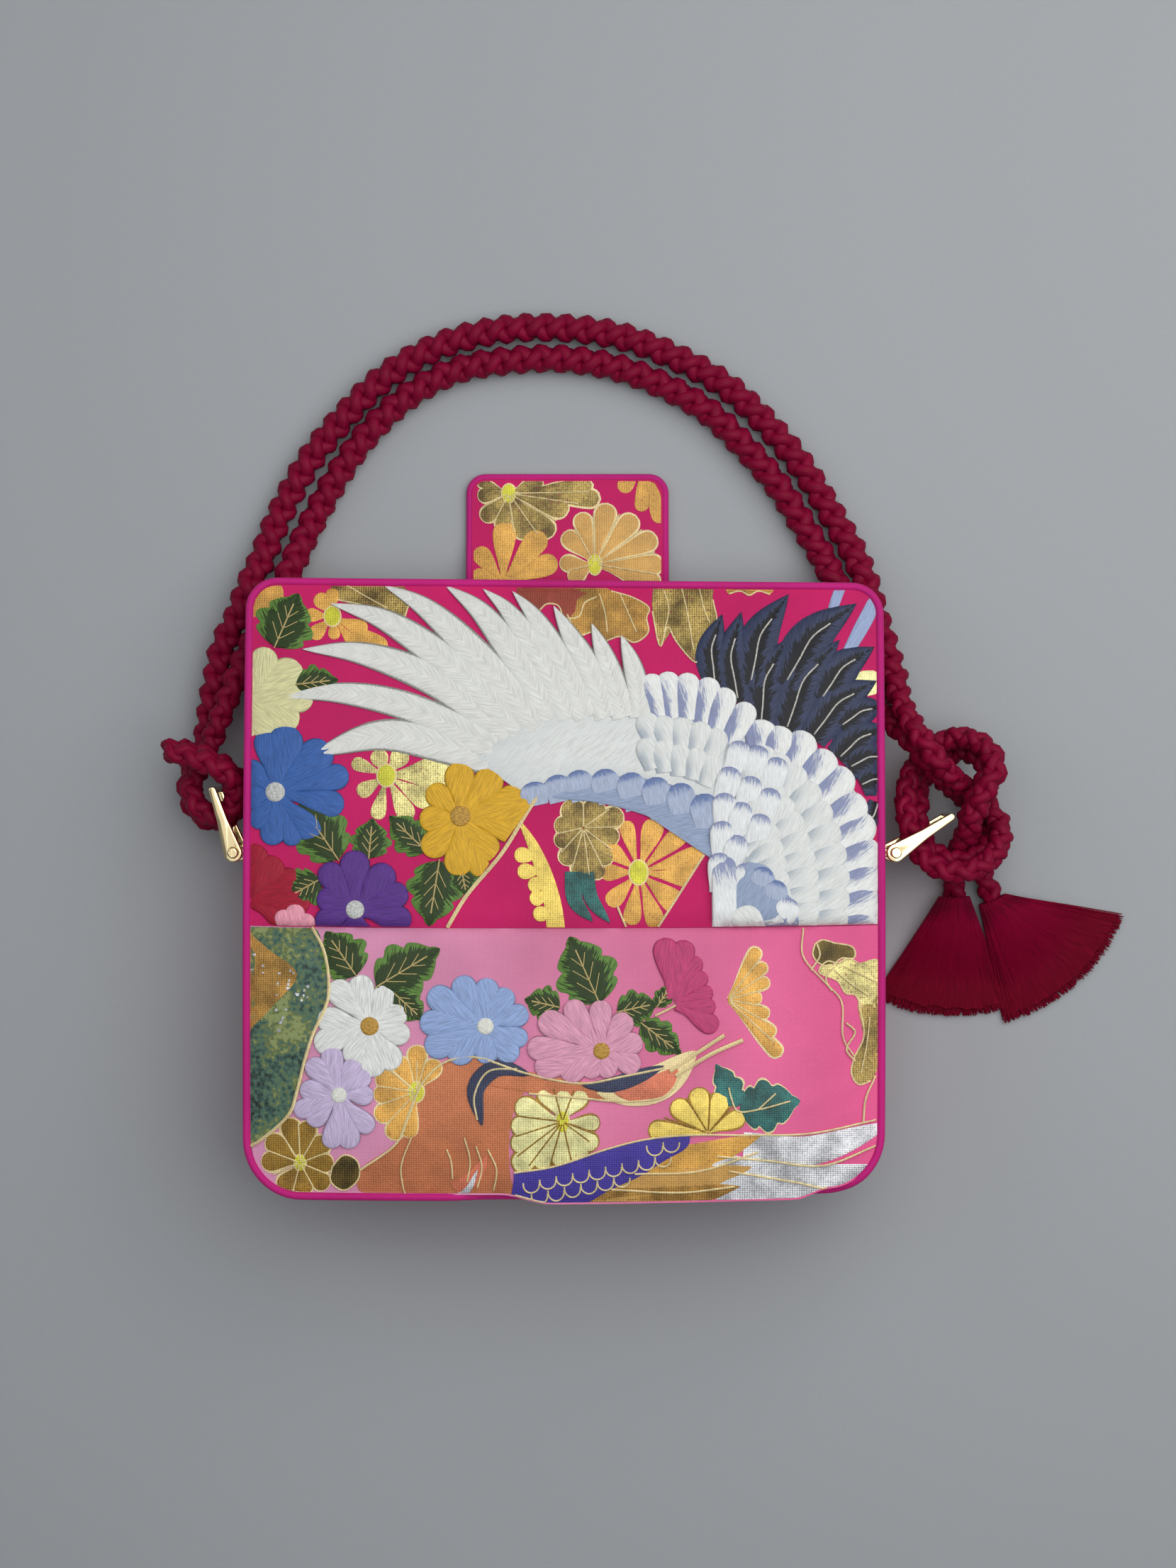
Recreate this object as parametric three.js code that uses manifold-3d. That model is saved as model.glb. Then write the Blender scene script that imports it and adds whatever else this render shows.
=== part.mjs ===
// A square handbag of padded kimono cloth with a doubled braided cord handle, lying on its back.
// Millimetres, +Z up out of the surface that it lies on. +Y is the bag's top and +X its right side,
// seen from the front. The origin is the middle of the back panel's outer face.
import * as THREE from 'three';
import { mergeVertices } from 'three/addons/utils/BufferGeometryUtils.js';
import Module from 'manifold-3d';

const wasm = await Module();
wasm.setup();

// The bag's outline
const bag_width = 221;
const bag_height = 210;
const side_taper = 2.7;
const right_side_shrink = 1;
const bottom_bow = 1.6;
const top_corner_radius = 11;
const bottom_corner_radius = 20;

// Its depth, from the outside of the back to the front's edge seam
const depth_top = 27;
const depth_at_bows = 46;
const depth_bottom = 57;

// Cloth, padding and piping
const piping_diameter = 2.7;
const cloth_wall = 2;
const back_thickness = 3;
const front_edge_thickness = 1.5;
const front_padding = 2.5;
const upper_crown = 3.2;
const lower_crown = 4.6;
const crown_run = 30;
const front_edge_rise = 0.3;
const seam_height = 91;
const seam_dip = 0.9;
const seam_dip_run = 5;
const bottom_roll_out = 3.4;
const bottom_roll_drop = 0.8;
const bottom_roll_run = 12;
const piping_roll_clearance = 0.2;
const piping_level_height = 6;
const gusset_fold_depth = 23;
const gusset_bulge = 1.6;
const gusset_bulge_run = 50;
const gusset_fold_power = 1.15;
const seam_gap = 0.3;

// The tab that stands up behind the front
const tab_width = 72;
const tab_reach = 39.6;
const tab_overlap = 12;
const tab_thickness = 3;
const tab_corner_radius = 7;
const tab_offset = 0.8;
const tab_sink_run = 18;

// Bows, lugs and screws
const bow_pivot_height = 115.6;
const bow_pivot_out = 4.8;
const bow_depth_centre = 24.5;
const bow_inner_depth = 16.6;
const bow_leg_thickness = 2.2;
const bow_length = 24;
const bow_eye_diameter = 6.5;
const bow_neck_width = 2.6;
const left_bow_angle = 108.4;
const right_bow_angle = 32.8;
const screw_shank_diameter = 2;
const screw_head_diameter = 3.8;
const screw_head_height = 1.3;
const screw_length = 7;
const screw_slot_width = 0.6;
const screw_slot_depth = 0.5;
const screw_clearance = 0.3;
const lug_barrel_diameter = 5.2;
const lug_plate_width = 11;
const lug_plate_depth = 15;
const lug_plate_thickness = 1.2;
const lug_web_thickness = 2.6;
const lug_web_share = 0.8;
const running_gap = 0.3;

// The braided cord and its tassels
const cord_diameter = 9.6;
const knotted_diameter = 8;
const neck_length = 7;
const tassel_neck_diameter = 9;
const tassel_lock_thickness = 6.5;
const tassel_end_thickness = 3.6;
const tassel_lift = 0.1;
const tassel_least_half_width = 1.6;
const left_tassel_length = 40;
const right_tassel_length = 43;

// The cord's middle line, from the left tassel through both knots and back to the right tassel
const TAIL_TO_OUTER_RIGHT = [
  [138, -6, 5.2], [137.9, -1.5, 5.5], [137.5, 6, 10], [139, 14.5, 21], [141.5, 23.5, 31.5],
  [145, 32, 34.5], [148.5, 38.5, 33], [147, 46, 27], [139, 50.5, 19], [130, 48, 15.5],
  [122.5, 40, 16], [119, 30, 22], [119.5, 19.5, 28], [123, 10.5, 28.4], [131, 4.5, 30],
  [140.5, 4.5, 30], [149, 9.5, 26], [152.5, 17, 20], [150.5, 24, 15.5], [144, 30, 16],
  [136.5, 35, 24], [130, 40.5, 33], [124.5, 48, 34.5], [120, 55.5, 30],
];
const OUTER_HANDLE = [
  [117, 63.5, 23], [115, 73, 16.5], [112.5, 83, 13], [109.5, 93, 12], [106, 105.5, 11.4],
  [102, 116.5, 7], [96, 127.5, 5.2], [85, 145.5, 5.2], [72, 161.5, 5.2], [57, 175.5, 5.2],
  [39.5, 185.5, 5.2], [20, 193, 5.2], [-0.5, 196, 5.2], [-21.5, 195.5, 5.2], [-42.5, 190.5, 5.2],
  [-61.5, 180.5, 5.2], [-77.5, 165.5, 5.2], [-91, 148.5, 5.2], [-101.5, 129, 5.2], [-107.5, 113, 8],
  [-111.5, 103.5, 11.5], [-115.5, 93, 11.5], [-120.4, 83, 11.3], [-122.5, 73, 11.5], [-124.5, 63.5, 11],
];
const OUTER_LEFT_TO_STUB = [
  [-126.5, 54.5, 10], [-128.5, 46, 9.5], [-131, 39, 12], [-132, 32, 17], [-129, 25.5, 20],
  [-123, 21.5, 20.6], [-116, 24, 20.6], [-112.8, 30.5, 22.8], [-114.5, 36.8, 26.8], [-119, 41, 29.8],
  [-125, 44, 30.4], [-131, 45.6, 30.2],
];
const STUB_TIP = [[-136, 45.8, 34.5]];
const STUB_TO_INNER_LEFT = [
  [-130.5, 44.2, 38.6], [-124, 42, 39.2], [-118.5, 39.5, 38.6], [-114.6, 36, 35.4], [-113.2, 31, 30.6],
  [-115.6, 25.8, 28.3], [-121.5, 23.2, 28], [-127, 26.5, 27.6], [-129.8, 32.5, 25], [-128, 39.5, 21],
  [-124.5, 47, 18.5], [-121, 55.5, 20.5],
];
const INNER_HANDLE = [
  [-117.5, 64.5, 20.5], [-114, 73, 18], [-110.2, 82, 15.8], [-106.5, 90, 14], [-102, 98, 13],
  [-98, 107, 11.6], [-94.5, 116, 8.3], [-90.5, 125.5, 5.2], [-81, 143, 5.2], [-70, 158.5, 5.2],
  [-55.5, 172, 5.2], [-38.5, 181, 5.2], [-19, 184.5, 5.2], [-0.5, 185, 5.2], [18, 182, 5.2],
  [35, 175.5, 5.2], [50.5, 166.5, 5.2], [63.5, 154, 5.2], [75.5, 140, 5.2], [86, 123.5, 5.2],
  [91.5, 114, 7], [95, 105.5, 11.6], [98.5, 95.5, 12.3], [101.8, 85.5, 12.5], [104.6, 75.5, 11.8],
  [108.8, 65.5, 12.5],
];
const INNER_RIGHT_TO_TAIL = [
  [113.5, 57, 17], [120, 50, 24], [125.5, 43, 25.5], [131, 37, 23], [137, 32.5, 14.5],
  [143.5, 27.5, 8.2], [148.5, 22.5, 8], [150.5, 17, 12], [147, 11.5, 18], [140, 7.5, 21.8],
  [133, 8, 22], [126, 12.5, 21.4], [123, 19.5, 21.6], [123.4, 26, 18.8], [124, 32, 12.8], [127, 38, 8.8],
  [132.5, 43.5, 7.8], [140.5, 46, 10.5], [145.8, 43, 17.5], [147, 37.5, 24.5], [144, 31.5, 26.3],
  [141, 24.5, 24.5], [142.5, 16, 15.5], [145.6, 8.5, 8], [148, 2.5, 5.6], [150, -2.5, 5.2],
  [151.8, -7, 5.2],
];

const half_width = bag_width / 2;
const half_height = bag_height / 2;
const piping_radius = piping_diameter / 2;
const panel_inset = piping_diameter + seam_gap;
const gusset_inset = 0.4;
const seam_y = seam_height - half_height;
const pivot_y = bow_pivot_height - half_height;
const piping_sides = 6;
const cord_sides = 8;

// Shares of the half width, from the middle, where the foot starts and stops rolling over its seam
const roll_starts = [-0.2, -0.04];
const roll_stops = [0.72, 0.83];
const piping_dips = [-0.38, -0.22];
const piping_returns = [0.84, 0.95];

const COLOURS = {
  magenta: 0xb8286a,
  pink: 0xd0608e,
  piping: 0xc01f78,
  brocade: 0xb08a4a,
  crimson: 0x86143c,
  tassel: 0x6f1030,
  gold: 0xd3c5b0,
};

function material(colour, roughness, metalness) {
  return new THREE.MeshStandardMaterial({ color: colour, roughness, metalness });
}

function clamp01(value) {
  return Math.min(1, Math.max(0, value));
}

function mix(a, b, t) {
  return a + (b - a) * t;
}

function smooth(from, to, value) {
  const t = clamp01((value - from) / (to - from));
  return t * t * (3 - 2 * t);
}

// Bends the plain rounded rectangle into the bag's own outline: narrower at the foot,
// a little shorter on the right, and bowed along the bottom.
function shaped(x, y) {
  const down = (half_height - y) / bag_height;
  const across = x / half_width;
  const bow = bottom_bow * clamp01(down) * (1 - across * across);
  return [
    x * (1 - (side_taper * down) / half_width),
    y * (1 - (right_side_shrink * across) / half_height) - bow + bottom_bow * 0.5 * clamp01(down),
  ];
}

// Height of the front's edge seam above the surface, a smooth curve through the three depths
function seamDepth(y) {
  const a = half_height;
  const b = pivot_y;
  const c = -half_height;
  return (
    (depth_top * (y - b) * (y - c)) / ((a - b) * (a - c)) +
    (depth_at_bows * (y - a) * (y - c)) / ((b - a) * (b - c)) +
    (depth_bottom * (y - a) * (y - b)) / ((c - a) * (c - b))
  );
}

// Along the bottom the padded front rolls over its seam, from just left of the middle to the right corner.
function rollOver(x) {
  const s = x / half_width;
  return smooth(...roll_starts, s) * (1 - smooth(...roll_stops, s));
}

function pipingDrop(x, y) {
  const s = x / half_width;
  const level = -half_height + piping_level_height;
  const near_bottom = 1 - smooth(level, -half_height + bottom_corner_radius, y);
  const drop = piping_diameter + bottom_roll_drop + piping_roll_clearance;
  return drop * smooth(...piping_dips, s) * (1 - smooth(...piping_returns, s)) * near_bottom;
}

function pipingHeight(x, y) {
  return seamDepth(y) - pipingDrop(x, y);
}

// Places round the plain outline with their outward direction, clockwise from the top edge's right end.
function outlineStations() {
  const list = [];
  const arc = (cx, cy, radius, from, to, steps) => {
    for (let i = 0; i <= steps; i += 1) {
      const a = THREE.MathUtils.degToRad(mix(from, to, i / steps));
      list.push({ x: cx + radius * Math.cos(a), y: cy + radius * Math.sin(a), nx: Math.cos(a), ny: Math.sin(a) });
    }
  };
  const line = (steps, target) => {
    const start = list[list.length - 1];
    for (let i = 1; i < steps; i += 1) {
      list.push({
        x: mix(start.x, target[0], i / steps),
        y: mix(start.y, target[1], i / steps),
        nx: start.nx,
        ny: start.ny,
      });
    }
  };
  const rt = top_corner_radius;
  const rb = bottom_corner_radius;
  arc(half_width - rt, half_height - rt, rt, 90, 0, 4);
  line(9, [half_width, -half_height + rb]);
  arc(half_width - rb, -half_height + rb, rb, 0, -90, 5);
  line(10, [-half_width + rb, -half_height]);
  arc(-half_width + rb, -half_height + rb, rb, -90, -180, 5);
  line(9, [-half_width, half_height - rt]);
  arc(-half_width + rt, half_height - rt, rt, 180, 90, 4);
  line(6, [half_width - rt, half_height]);
  return list;
}

function inward(station, inset) {
  return shaped(station.x - station.nx * inset, station.y - station.ny * inset);
}

// Half the plain outline's width at a height, for an outline moved inward
function halfWidthAt(y, inset) {
  const hw = half_width - inset;
  const rt = top_corner_radius - inset;
  const rb = bottom_corner_radius - inset;
  const above = y - (half_height - inset - rt);
  const below = -half_height + inset + rb - y;
  if (above > 0) return hw - rt + Math.sqrt(Math.max(0, rt * rt - above * above));
  if (below > 0) return hw - rb + Math.sqrt(Math.max(0, rb * rb - below * below));
  return hw;
}

// Turns a mesh right way out and gives it shared vertices
function finished(positions, index) {
  const geometry = new THREE.BufferGeometry();
  geometry.setAttribute('position', new THREE.Float32BufferAttribute(positions, 3));
  let volume = 0;
  const at = (i) => new THREE.Vector3().fromArray(positions, 3 * i);
  for (let i = 0; i < index.length; i += 3) {
    volume += at(index[i]).dot(at(index[i + 1]).cross(at(index[i + 2])));
  }
  if (volume < 0) {
    for (let i = 0; i < index.length; i += 3) [index[i], index[i + 1]] = [index[i + 1], index[i]];
  }
  geometry.setIndex(index);
  geometry.computeVertexNormals();
  return geometry;
}

// A closed sheet between two grids of points, outer and inner, each a list of rows
function sheet(outer, inner) {
  const rows = outer.length;
  const columns = outer[0].length;
  const positions = [];
  const index = [];
  for (const grid of [outer, inner]) {
    for (const row of grid) {
      for (const point of row) positions.push(...point);
    }
  }
  const at = (layer, i, j) => layer * rows * columns + i * columns + j;
  const quad = (a, b, c, d) => index.push(a, b, c, a, c, d);
  for (let i = 0; i + 1 < rows; i += 1) {
    for (let j = 0; j + 1 < columns; j += 1) {
      quad(at(0, i, j), at(0, i, j + 1), at(0, i + 1, j + 1), at(0, i + 1, j));
      quad(at(1, i, j), at(1, i + 1, j), at(1, i + 1, j + 1), at(1, i, j + 1));
    }
    const end = columns - 1;
    quad(at(0, i, 0), at(0, i + 1, 0), at(1, i + 1, 0), at(1, i, 0));
    quad(at(0, i, end), at(1, i, end), at(1, i + 1, end), at(0, i + 1, end));
  }
  for (let j = 0; j + 1 < columns; j += 1) {
    const end = rows - 1;
    quad(at(0, 0, j), at(1, 0, j), at(1, 0, j + 1), at(0, 0, j + 1));
    quad(at(0, end, j), at(0, end, j + 1), at(1, end, j + 1), at(1, end, j));
  }
  return finished(positions, index);
}

// A closed ring of round section along a closed line of points
function ring(points, radius, sides) {
  const positions = [];
  const index = [];
  const count = points.length;
  const up = new THREE.Vector3(0, 0, 1);
  for (let i = 0; i < count; i += 1) {
    const before = points[(i + count - 1) % count];
    const after = points[(i + 1) % count];
    const along = new THREE.Vector3().subVectors(after, before).normalize();
    const aside = new THREE.Vector3().crossVectors(along, up).normalize();
    const rise = new THREE.Vector3().crossVectors(aside, along).normalize();
    for (let k = 0; k < sides; k += 1) {
      const a = (2 * Math.PI * (k + 0.5)) / sides;
      const point = points[i].clone();
      point.addScaledVector(aside, radius * Math.cos(a));
      point.addScaledVector(rise, radius * Math.sin(a));
      positions.push(point.x, point.y, point.z);
    }
  }
  for (let i = 0; i < count; i += 1) {
    const next = (i + 1) % count;
    for (let k = 0; k < sides; k += 1) {
      const turn = (k + 1) % sides;
      const a = i * sides + k;
      const b = i * sides + turn;
      const c = next * sides + turn;
      const d = next * sides + k;
      index.push(a, b, c, a, c, d);
    }
  }
  return finished(positions, index);
}

// A round section with a flat side underneath, for a tube along a curve
function roundSection(radius, sides) {
  const shape = new THREE.Shape();
  for (let k = 0; k < sides; k += 1) {
    const a = (2 * Math.PI * (k + 0.5)) / sides;
    const x = radius * Math.cos(a);
    const y = radius * Math.sin(a);
    if (k === 0) shape.moveTo(x, y);
    else shape.lineTo(x, y);
  }
  shape.closePath();
  return shape;
}

function tube(curve, radius, sides, steps) {
  return new THREE.ExtrudeGeometry(roundSection(radius, sides), {
    steps,
    extrudePath: curve,
    bevelEnabled: false,
  });
}

function solid(geometry) {
  const bare = geometry.clone();
  for (const name of ['normal', 'uv']) {
    if (bare.hasAttribute(name)) bare.deleteAttribute(name);
  }
  const welded = mergeVertices(bare, 1e-4);
  return new wasm.Manifold(
    new wasm.Mesh({
      numProp: 3,
      vertProperties: new Float32Array(welded.attributes.position.array),
      triVerts: new Uint32Array(welded.index.array),
    }),
  );
}

function shapeOf(manifold) {
  const { vertProperties, triVerts } = manifold.getMesh();
  return finished(Array.from(vertProperties), Array.from(triVerts));
}

function joined(geometries) {
  return geometries.map(solid).reduce((whole, piece) => whole.add(piece));
}

// A cylinder along Z between two heights
function post(x, y, low, high, radius, sides = 16) {
  const geometry = new THREE.CylinderGeometry(radius, radius, high - low, sides);
  geometry.rotateX(Math.PI / 2);
  geometry.translate(x, y, (low + high) / 2);
  return geometry;
}

// How far the padding has risen at a place on the front, from 0 at the edge to 1 inside
function crownAt(x, y, width_here) {
  const aside = clamp01((width_here - Math.abs(x)) / crown_run);
  const above = clamp01((half_height - panel_inset - y) / crown_run);
  const below = clamp01((y + half_height - panel_inset) / crown_run);
  const rise = (t) => Math.sin((Math.PI / 2) * t);
  return rise(aside) * rise(above) * rise(below);
}

function frontPanel(rows, crown) {
  const columns = 16;
  const top = [];
  const under = [];
  for (const y of rows) {
    const width_here = halfWidthAt(y, panel_inset);
    const top_row = [];
    const under_row = [];
    for (let j = 0; j <= columns; j += 1) {
      const share = Math.sin((Math.PI / 2) * (-1 + (2 * j) / columns));
      const x = width_here * share;
      const rise = crownAt(x, y, width_here);
      const dip = seam_dip * (1 - smooth(0, seam_dip_run, Math.abs(y - seam_y))) * Math.sqrt(rise);
      const edge = clamp01(1 - (y + half_height - panel_inset) / bottom_roll_run);
      const roll = rollOver(x) * edge * edge;
      const [px, py] = shaped(x, y - bottom_roll_out * roll);
      const z = seamDepth(py) + front_edge_rise + crown * rise - dip - bottom_roll_drop * roll;
      top_row.push([px, py, z]);
      under_row.push([px, py, z - front_edge_thickness - front_padding * rise]);
    }
    top.push(top_row);
    under.push(under_row);
  }
  return sheet(top, under);
}

// Heights of the grid's rows, close together where a corner turns
function panelRows(from, straight_to, to, straight_steps, corner_steps) {
  const rows = [];
  for (let i = 0; i < straight_steps; i += 1) rows.push(mix(from, straight_to, i / straight_steps));
  for (let i = 0; i <= corner_steps; i += 1) {
    rows.push(mix(straight_to, to, Math.sin(((Math.PI / 2) * i) / corner_steps)));
  }
  return rows;
}

function upperPanel() {
  const end = half_height - panel_inset;
  const rows = panelRows(seam_y + seam_gap / 2, half_height - top_corner_radius, end, 9, 4);
  rows.splice(1, 0, seam_y + seam_dip_run);
  return frontPanel(rows, upper_crown);
}

function lowerPanel() {
  const end = -half_height + panel_inset;
  const rows = panelRows(seam_y - seam_gap / 2, -half_height + bottom_corner_radius, end, 7, 5);
  rows.splice(1, 0, seam_y - seam_dip_run);
  return frontPanel(rows, lower_crown);
}

function frontPiping() {
  const points = outlineStations().map((station) => {
    const [x, y] = inward(station, piping_radius);
    return new THREE.Vector3(x, y, pipingHeight(station.x, y));
  });
  return ring(points, piping_radius, piping_sides);
}

function backPiping() {
  const points = outlineStations().map((station) => {
    const [x, y] = inward(station, piping_radius);
    return new THREE.Vector3(x, y, piping_radius);
  });
  return ring(points, piping_radius, piping_sides);
}

function backPanel() {
  const shape = new THREE.Shape();
  outlineStations().forEach((station, i) => {
    const [x, y] = inward(station, panel_inset);
    if (i === 0) shape.moveTo(x, y);
    else shape.lineTo(x, y);
  });
  shape.closePath();
  return new THREE.ExtrudeGeometry(shape, { depth: back_thickness, bevelEnabled: false });
}

// The strip between front and back, round the sides and the bottom. Above the bows its sides fold
// inward between the two panels, which leaves room for the cord, and below them it swells a little.
// Each row gives a place across the strip: shares of the fold and of the depth, and the wall's lean.
const GUSSET_ROWS = [
  { fold: 0, depth: 0, lean: 1 },
  { fold: 0.5, depth: 0.01, lean: 1 },
  { fold: 0.9, depth: 0.05, lean: 0.7 },
  { fold: 1, depth: 0.22, lean: 0 },
  { fold: 1, depth: 0.5, lean: 0 },
  { fold: 1, depth: 0.78, lean: 0 },
  { fold: 0.9, depth: 0.95, lean: -0.7 },
  { fold: 0.5, depth: 0.99, lean: -1 },
  { fold: 0, depth: 1, lean: -1 },
];

function gusset() {
  const stations = outlineStations().slice(2, -7);
  const low = back_thickness + seam_gap;
  const outer = [];
  const inner = [];
  stations.forEach((station) => {
    const side = Math.sign(station.x);
    const up = clamp01((station.y - pivot_y) / (half_height - pivot_y));
    const fold = gusset_fold_depth * up ** gusset_fold_power;
    const lying = smooth(0, 4 * cloth_wall, fold);
    const swell = gusset_bulge * smooth(pivot_y, pivot_y - gusset_bulge_run, station.y);
    const [, edge_y] = inward(station, gusset_inset);
    const high = pipingHeight(station.x, edge_y) - piping_radius - seam_gap;
    const outer_row = [];
    const inner_row = [];
    for (const row of GUSSET_ROWS) {
      const lean = row.lean * lying;
      const upright = Math.sqrt(1 - lean * lean);
      const out = swell * Math.sin(Math.PI * row.depth);
      const z = mix(low + cloth_wall * lying, high - cloth_wall * lying, row.depth);
      const [ox, oy] = inward(station, gusset_inset - out);
      const [ix, iy] = inward(station, gusset_inset - out + cloth_wall * upright);
      outer_row.push([ox - side * fold * row.fold, oy, z]);
      inner_row.push([ix - side * fold * row.fold, iy, z - cloth_wall * lean]);
    }
    outer.push(outer_row);
    inner.push(inner_row);
  });
  return sheet(outer, inner);
}

// The tab lies on the back's inner face, clears the piping and then sinks towards the surface.
function tabHeight(y) {
  const start = half_height + piping_radius;
  return mix(back_thickness + seam_gap, seam_gap, smooth(start, start + tab_sink_run, y));
}

function tabRim(inset) {
  const hw = tab_width / 2 - inset;
  const top = half_height + tab_reach - inset;
  const r = tab_corner_radius - inset;
  return { hw, top, r };
}

function tab() {
  const { hw, top, r } = tabRim(panel_inset);
  const foot = half_height - tab_overlap;
  const rows = panelRows(foot, top - r, top, 7, 4);
  const columns = 8;
  const upper = [];
  const lower = [];
  for (const y of rows) {
    const above = y - (top - r);
    const width_here = above > 0 ? hw - r + Math.sqrt(Math.max(0, r * r - above * above)) : hw;
    const upper_row = [];
    const lower_row = [];
    for (let j = 0; j <= columns; j += 1) {
      const x = tab_offset + width_here * Math.sin((Math.PI / 2) * (-1 + (2 * j) / columns));
      const z = tabHeight(y);
      lower_row.push([x, y, z]);
      upper_row.push([x, y, z + tab_thickness]);
    }
    upper.push(upper_row);
    lower.push(lower_row);
  }
  return sheet(upper, lower);
}

function tabPiping() {
  const { hw, top, r } = tabRim(piping_radius);
  const foot = half_height - tab_overlap;
  const middle = (y) => tabHeight(y) + tab_thickness / 2;
  const points = [];
  const add = (x, y) => points.push(new THREE.Vector3(tab_offset + x, y, middle(y)));
  const side_steps = 7;
  for (let i = 0; i < side_steps; i += 1) add(-hw, mix(foot, top - r, i / side_steps));
  for (let i = 0; i <= 3; i += 1) {
    const a = Math.PI - ((Math.PI / 2) * i) / 3;
    add(-hw + r + r * Math.cos(a), top - r + r * Math.sin(a));
  }
  add(-hw / 3, top);
  add(hw / 3, top);
  for (let i = 0; i <= 3; i += 1) {
    const a = Math.PI / 2 - ((Math.PI / 2) * i) / 3;
    add(hw - r + r * Math.cos(a), top - r + r * Math.sin(a));
  }
  for (let i = side_steps - 1; i >= 0; i -= 1) add(hw, mix(foot, top - r, i / side_steps));
  const curve = new THREE.CatmullRomCurve3(points, false, 'centripetal');
  return tube(curve, piping_radius, piping_sides, 38);
}

// Where a bow turns, at one side of the bag
function pivot(side) {
  const [x] = shaped(side * half_width, pivot_y);
  return { x: x + side * bow_pivot_out, y: pivot_y, face: x - side * gusset_inset };
}

const bow_low = bow_depth_centre - bow_inner_depth / 2;
const bow_high = bow_depth_centre + bow_inner_depth / 2;

// A leg of a bow, from its eye to its narrow neck, in the plane of the bag
function bowLeg(low) {
  const eye = bow_eye_diameter / 2;
  const neck = bow_neck_width / 2;
  const tip = bow_length - neck;
  const lean = Math.asin((eye - neck) / tip);
  const shape = new THREE.Shape();
  shape.absarc(0, 0, eye, Math.PI / 2 - lean, 1.5 * Math.PI + lean, false);
  shape.absarc(tip, 0, neck, 1.5 * Math.PI + lean, Math.PI / 2 - lean, false);
  const hole = new THREE.Path();
  hole.absarc(0, 0, screw_shank_diameter / 2 + screw_clearance, 0, 2 * Math.PI, true);
  shape.holes.push(hole);
  const geometry = new THREE.ExtrudeGeometry(shape, {
    depth: bow_leg_thickness,
    bevelEnabled: false,
    curveSegments: 5,
  });
  geometry.translate(0, 0, low);
  return geometry;
}

function bow() {
  const neck = bow_neck_width / 2;
  const tip = bow_length - neck;
  const top = bow_high + bow_leg_thickness;
  const bottom = bow_low - bow_leg_thickness;
  return shapeOf(joined([bowLeg(bow_high), bowLeg(bottom), post(tip, 0, bottom, top, neck, 12)]));
}

// A lug: a plate against the gusset, a web, and the barrel that the bow's eyes turn beside
function lug(side) {
  const { x, y, face } = pivot(side);
  const plate_low = face + side * seam_gap;
  const plate_high = plate_low + side * lug_plate_thickness;
  const length = bow_inner_depth - 2 * running_gap;
  const plate = new THREE.BoxGeometry(lug_plate_thickness, lug_plate_width, lug_plate_depth);
  plate.translate((plate_low + plate_high) / 2, y, bow_depth_centre);
  const reach = Math.abs(x - plate_low);
  const web = new THREE.BoxGeometry(reach, lug_web_thickness, length * lug_web_share);
  web.translate((x + plate_low) / 2, y, bow_depth_centre);
  const low = bow_depth_centre - length / 2;
  const high = bow_depth_centre + length / 2;
  const barrel = post(x, y, low, high, lug_barrel_diameter / 2);
  const hole_radius = screw_shank_diameter / 2 + screw_clearance;
  const hole = post(x, y, low - 1, high + 1, hole_radius);
  return shapeOf(joined([plate, web, barrel]).subtract(solid(hole)));
}

// A cross-head screw: its shank passes the bow's eye and ends in the lug's barrel.
function screw() {
  const shank = screw_shank_diameter / 2;
  const head = screw_head_diameter / 2;
  const profile = [
    [0, -screw_length],
    [shank * 0.7, -screw_length],
    [shank, -screw_length + 0.6],
    [shank, 0],
    [head, 0],
    [head, screw_head_height * 0.45],
    [head * 0.72, screw_head_height * 0.88],
    [0, screw_head_height],
  ].map(([r, z]) => new THREE.Vector2(r, z));
  const body = new THREE.LatheGeometry(profile, 12);
  body.rotateX(Math.PI / 2);
  const slots = [0, 1].map((turn) => {
    const slot = new THREE.BoxGeometry(head * 1.3, screw_slot_width, 2 * screw_slot_depth);
    slot.rotateZ((turn * Math.PI) / 2);
    slot.translate(0, 0, screw_head_height);
    return slot;
  });
  return shapeOf(solid(body).subtract(joined(slots)));
}

// The cord's whole line, and stretches of it between two of its points
const ROUTE = [
  TAIL_TO_OUTER_RIGHT,
  OUTER_HANDLE,
  OUTER_LEFT_TO_STUB,
  STUB_TIP,
  STUB_TO_INNER_LEFT,
  INNER_HANDLE,
  INNER_RIGHT_TO_TAIL,
];
const route_points = ROUTE.flat().map((p) => new THREE.Vector3(...p));
const cord_line = new THREE.CatmullRomCurve3(route_points, false, 'centripetal');
const samples_per_point = 16;
const sample_count = (route_points.length - 1) * samples_per_point;
const lengths = cord_line.getLengths(sample_count);
cord_line.arcLengthDivisions = sample_count;

function firstPointOf(section) {
  return ROUTE.slice(0, section).flat().length;
}

function lengthAtPoint(point) {
  return lengths[point * samples_per_point];
}

class Stretch extends THREE.Curve {
  constructor(from, to) {
    super();
    this.from = from / lengths[sample_count];
    this.to = to / lengths[sample_count];
  }

  getPoint(t, target = new THREE.Vector3()) {
    return cord_line.getPointAt(mix(this.from, this.to, t), target);
  }
}

function cordTube(from, to, diameter, pitch) {
  const steps = Math.max(2, Math.round((to - from) / pitch));
  return tube(new Stretch(from, to), diameter / 2, cord_sides, steps);
}

const knot_pitch = 8.5;
const handle_pitch = 1.8 * cord_diameter;
const end_gap = seam_gap;

function knot(first, second) {
  const halves = [first, second].flatMap(([from, to]) => {
    const middle = (from + to) / 2;
    return [
      cordTube(from, middle + 0.5, knotted_diameter, knot_pitch),
      cordTube(middle - 0.5, to, knotted_diameter, knot_pitch),
    ];
  });
  return shapeOf(joined(halves));
}

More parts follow.
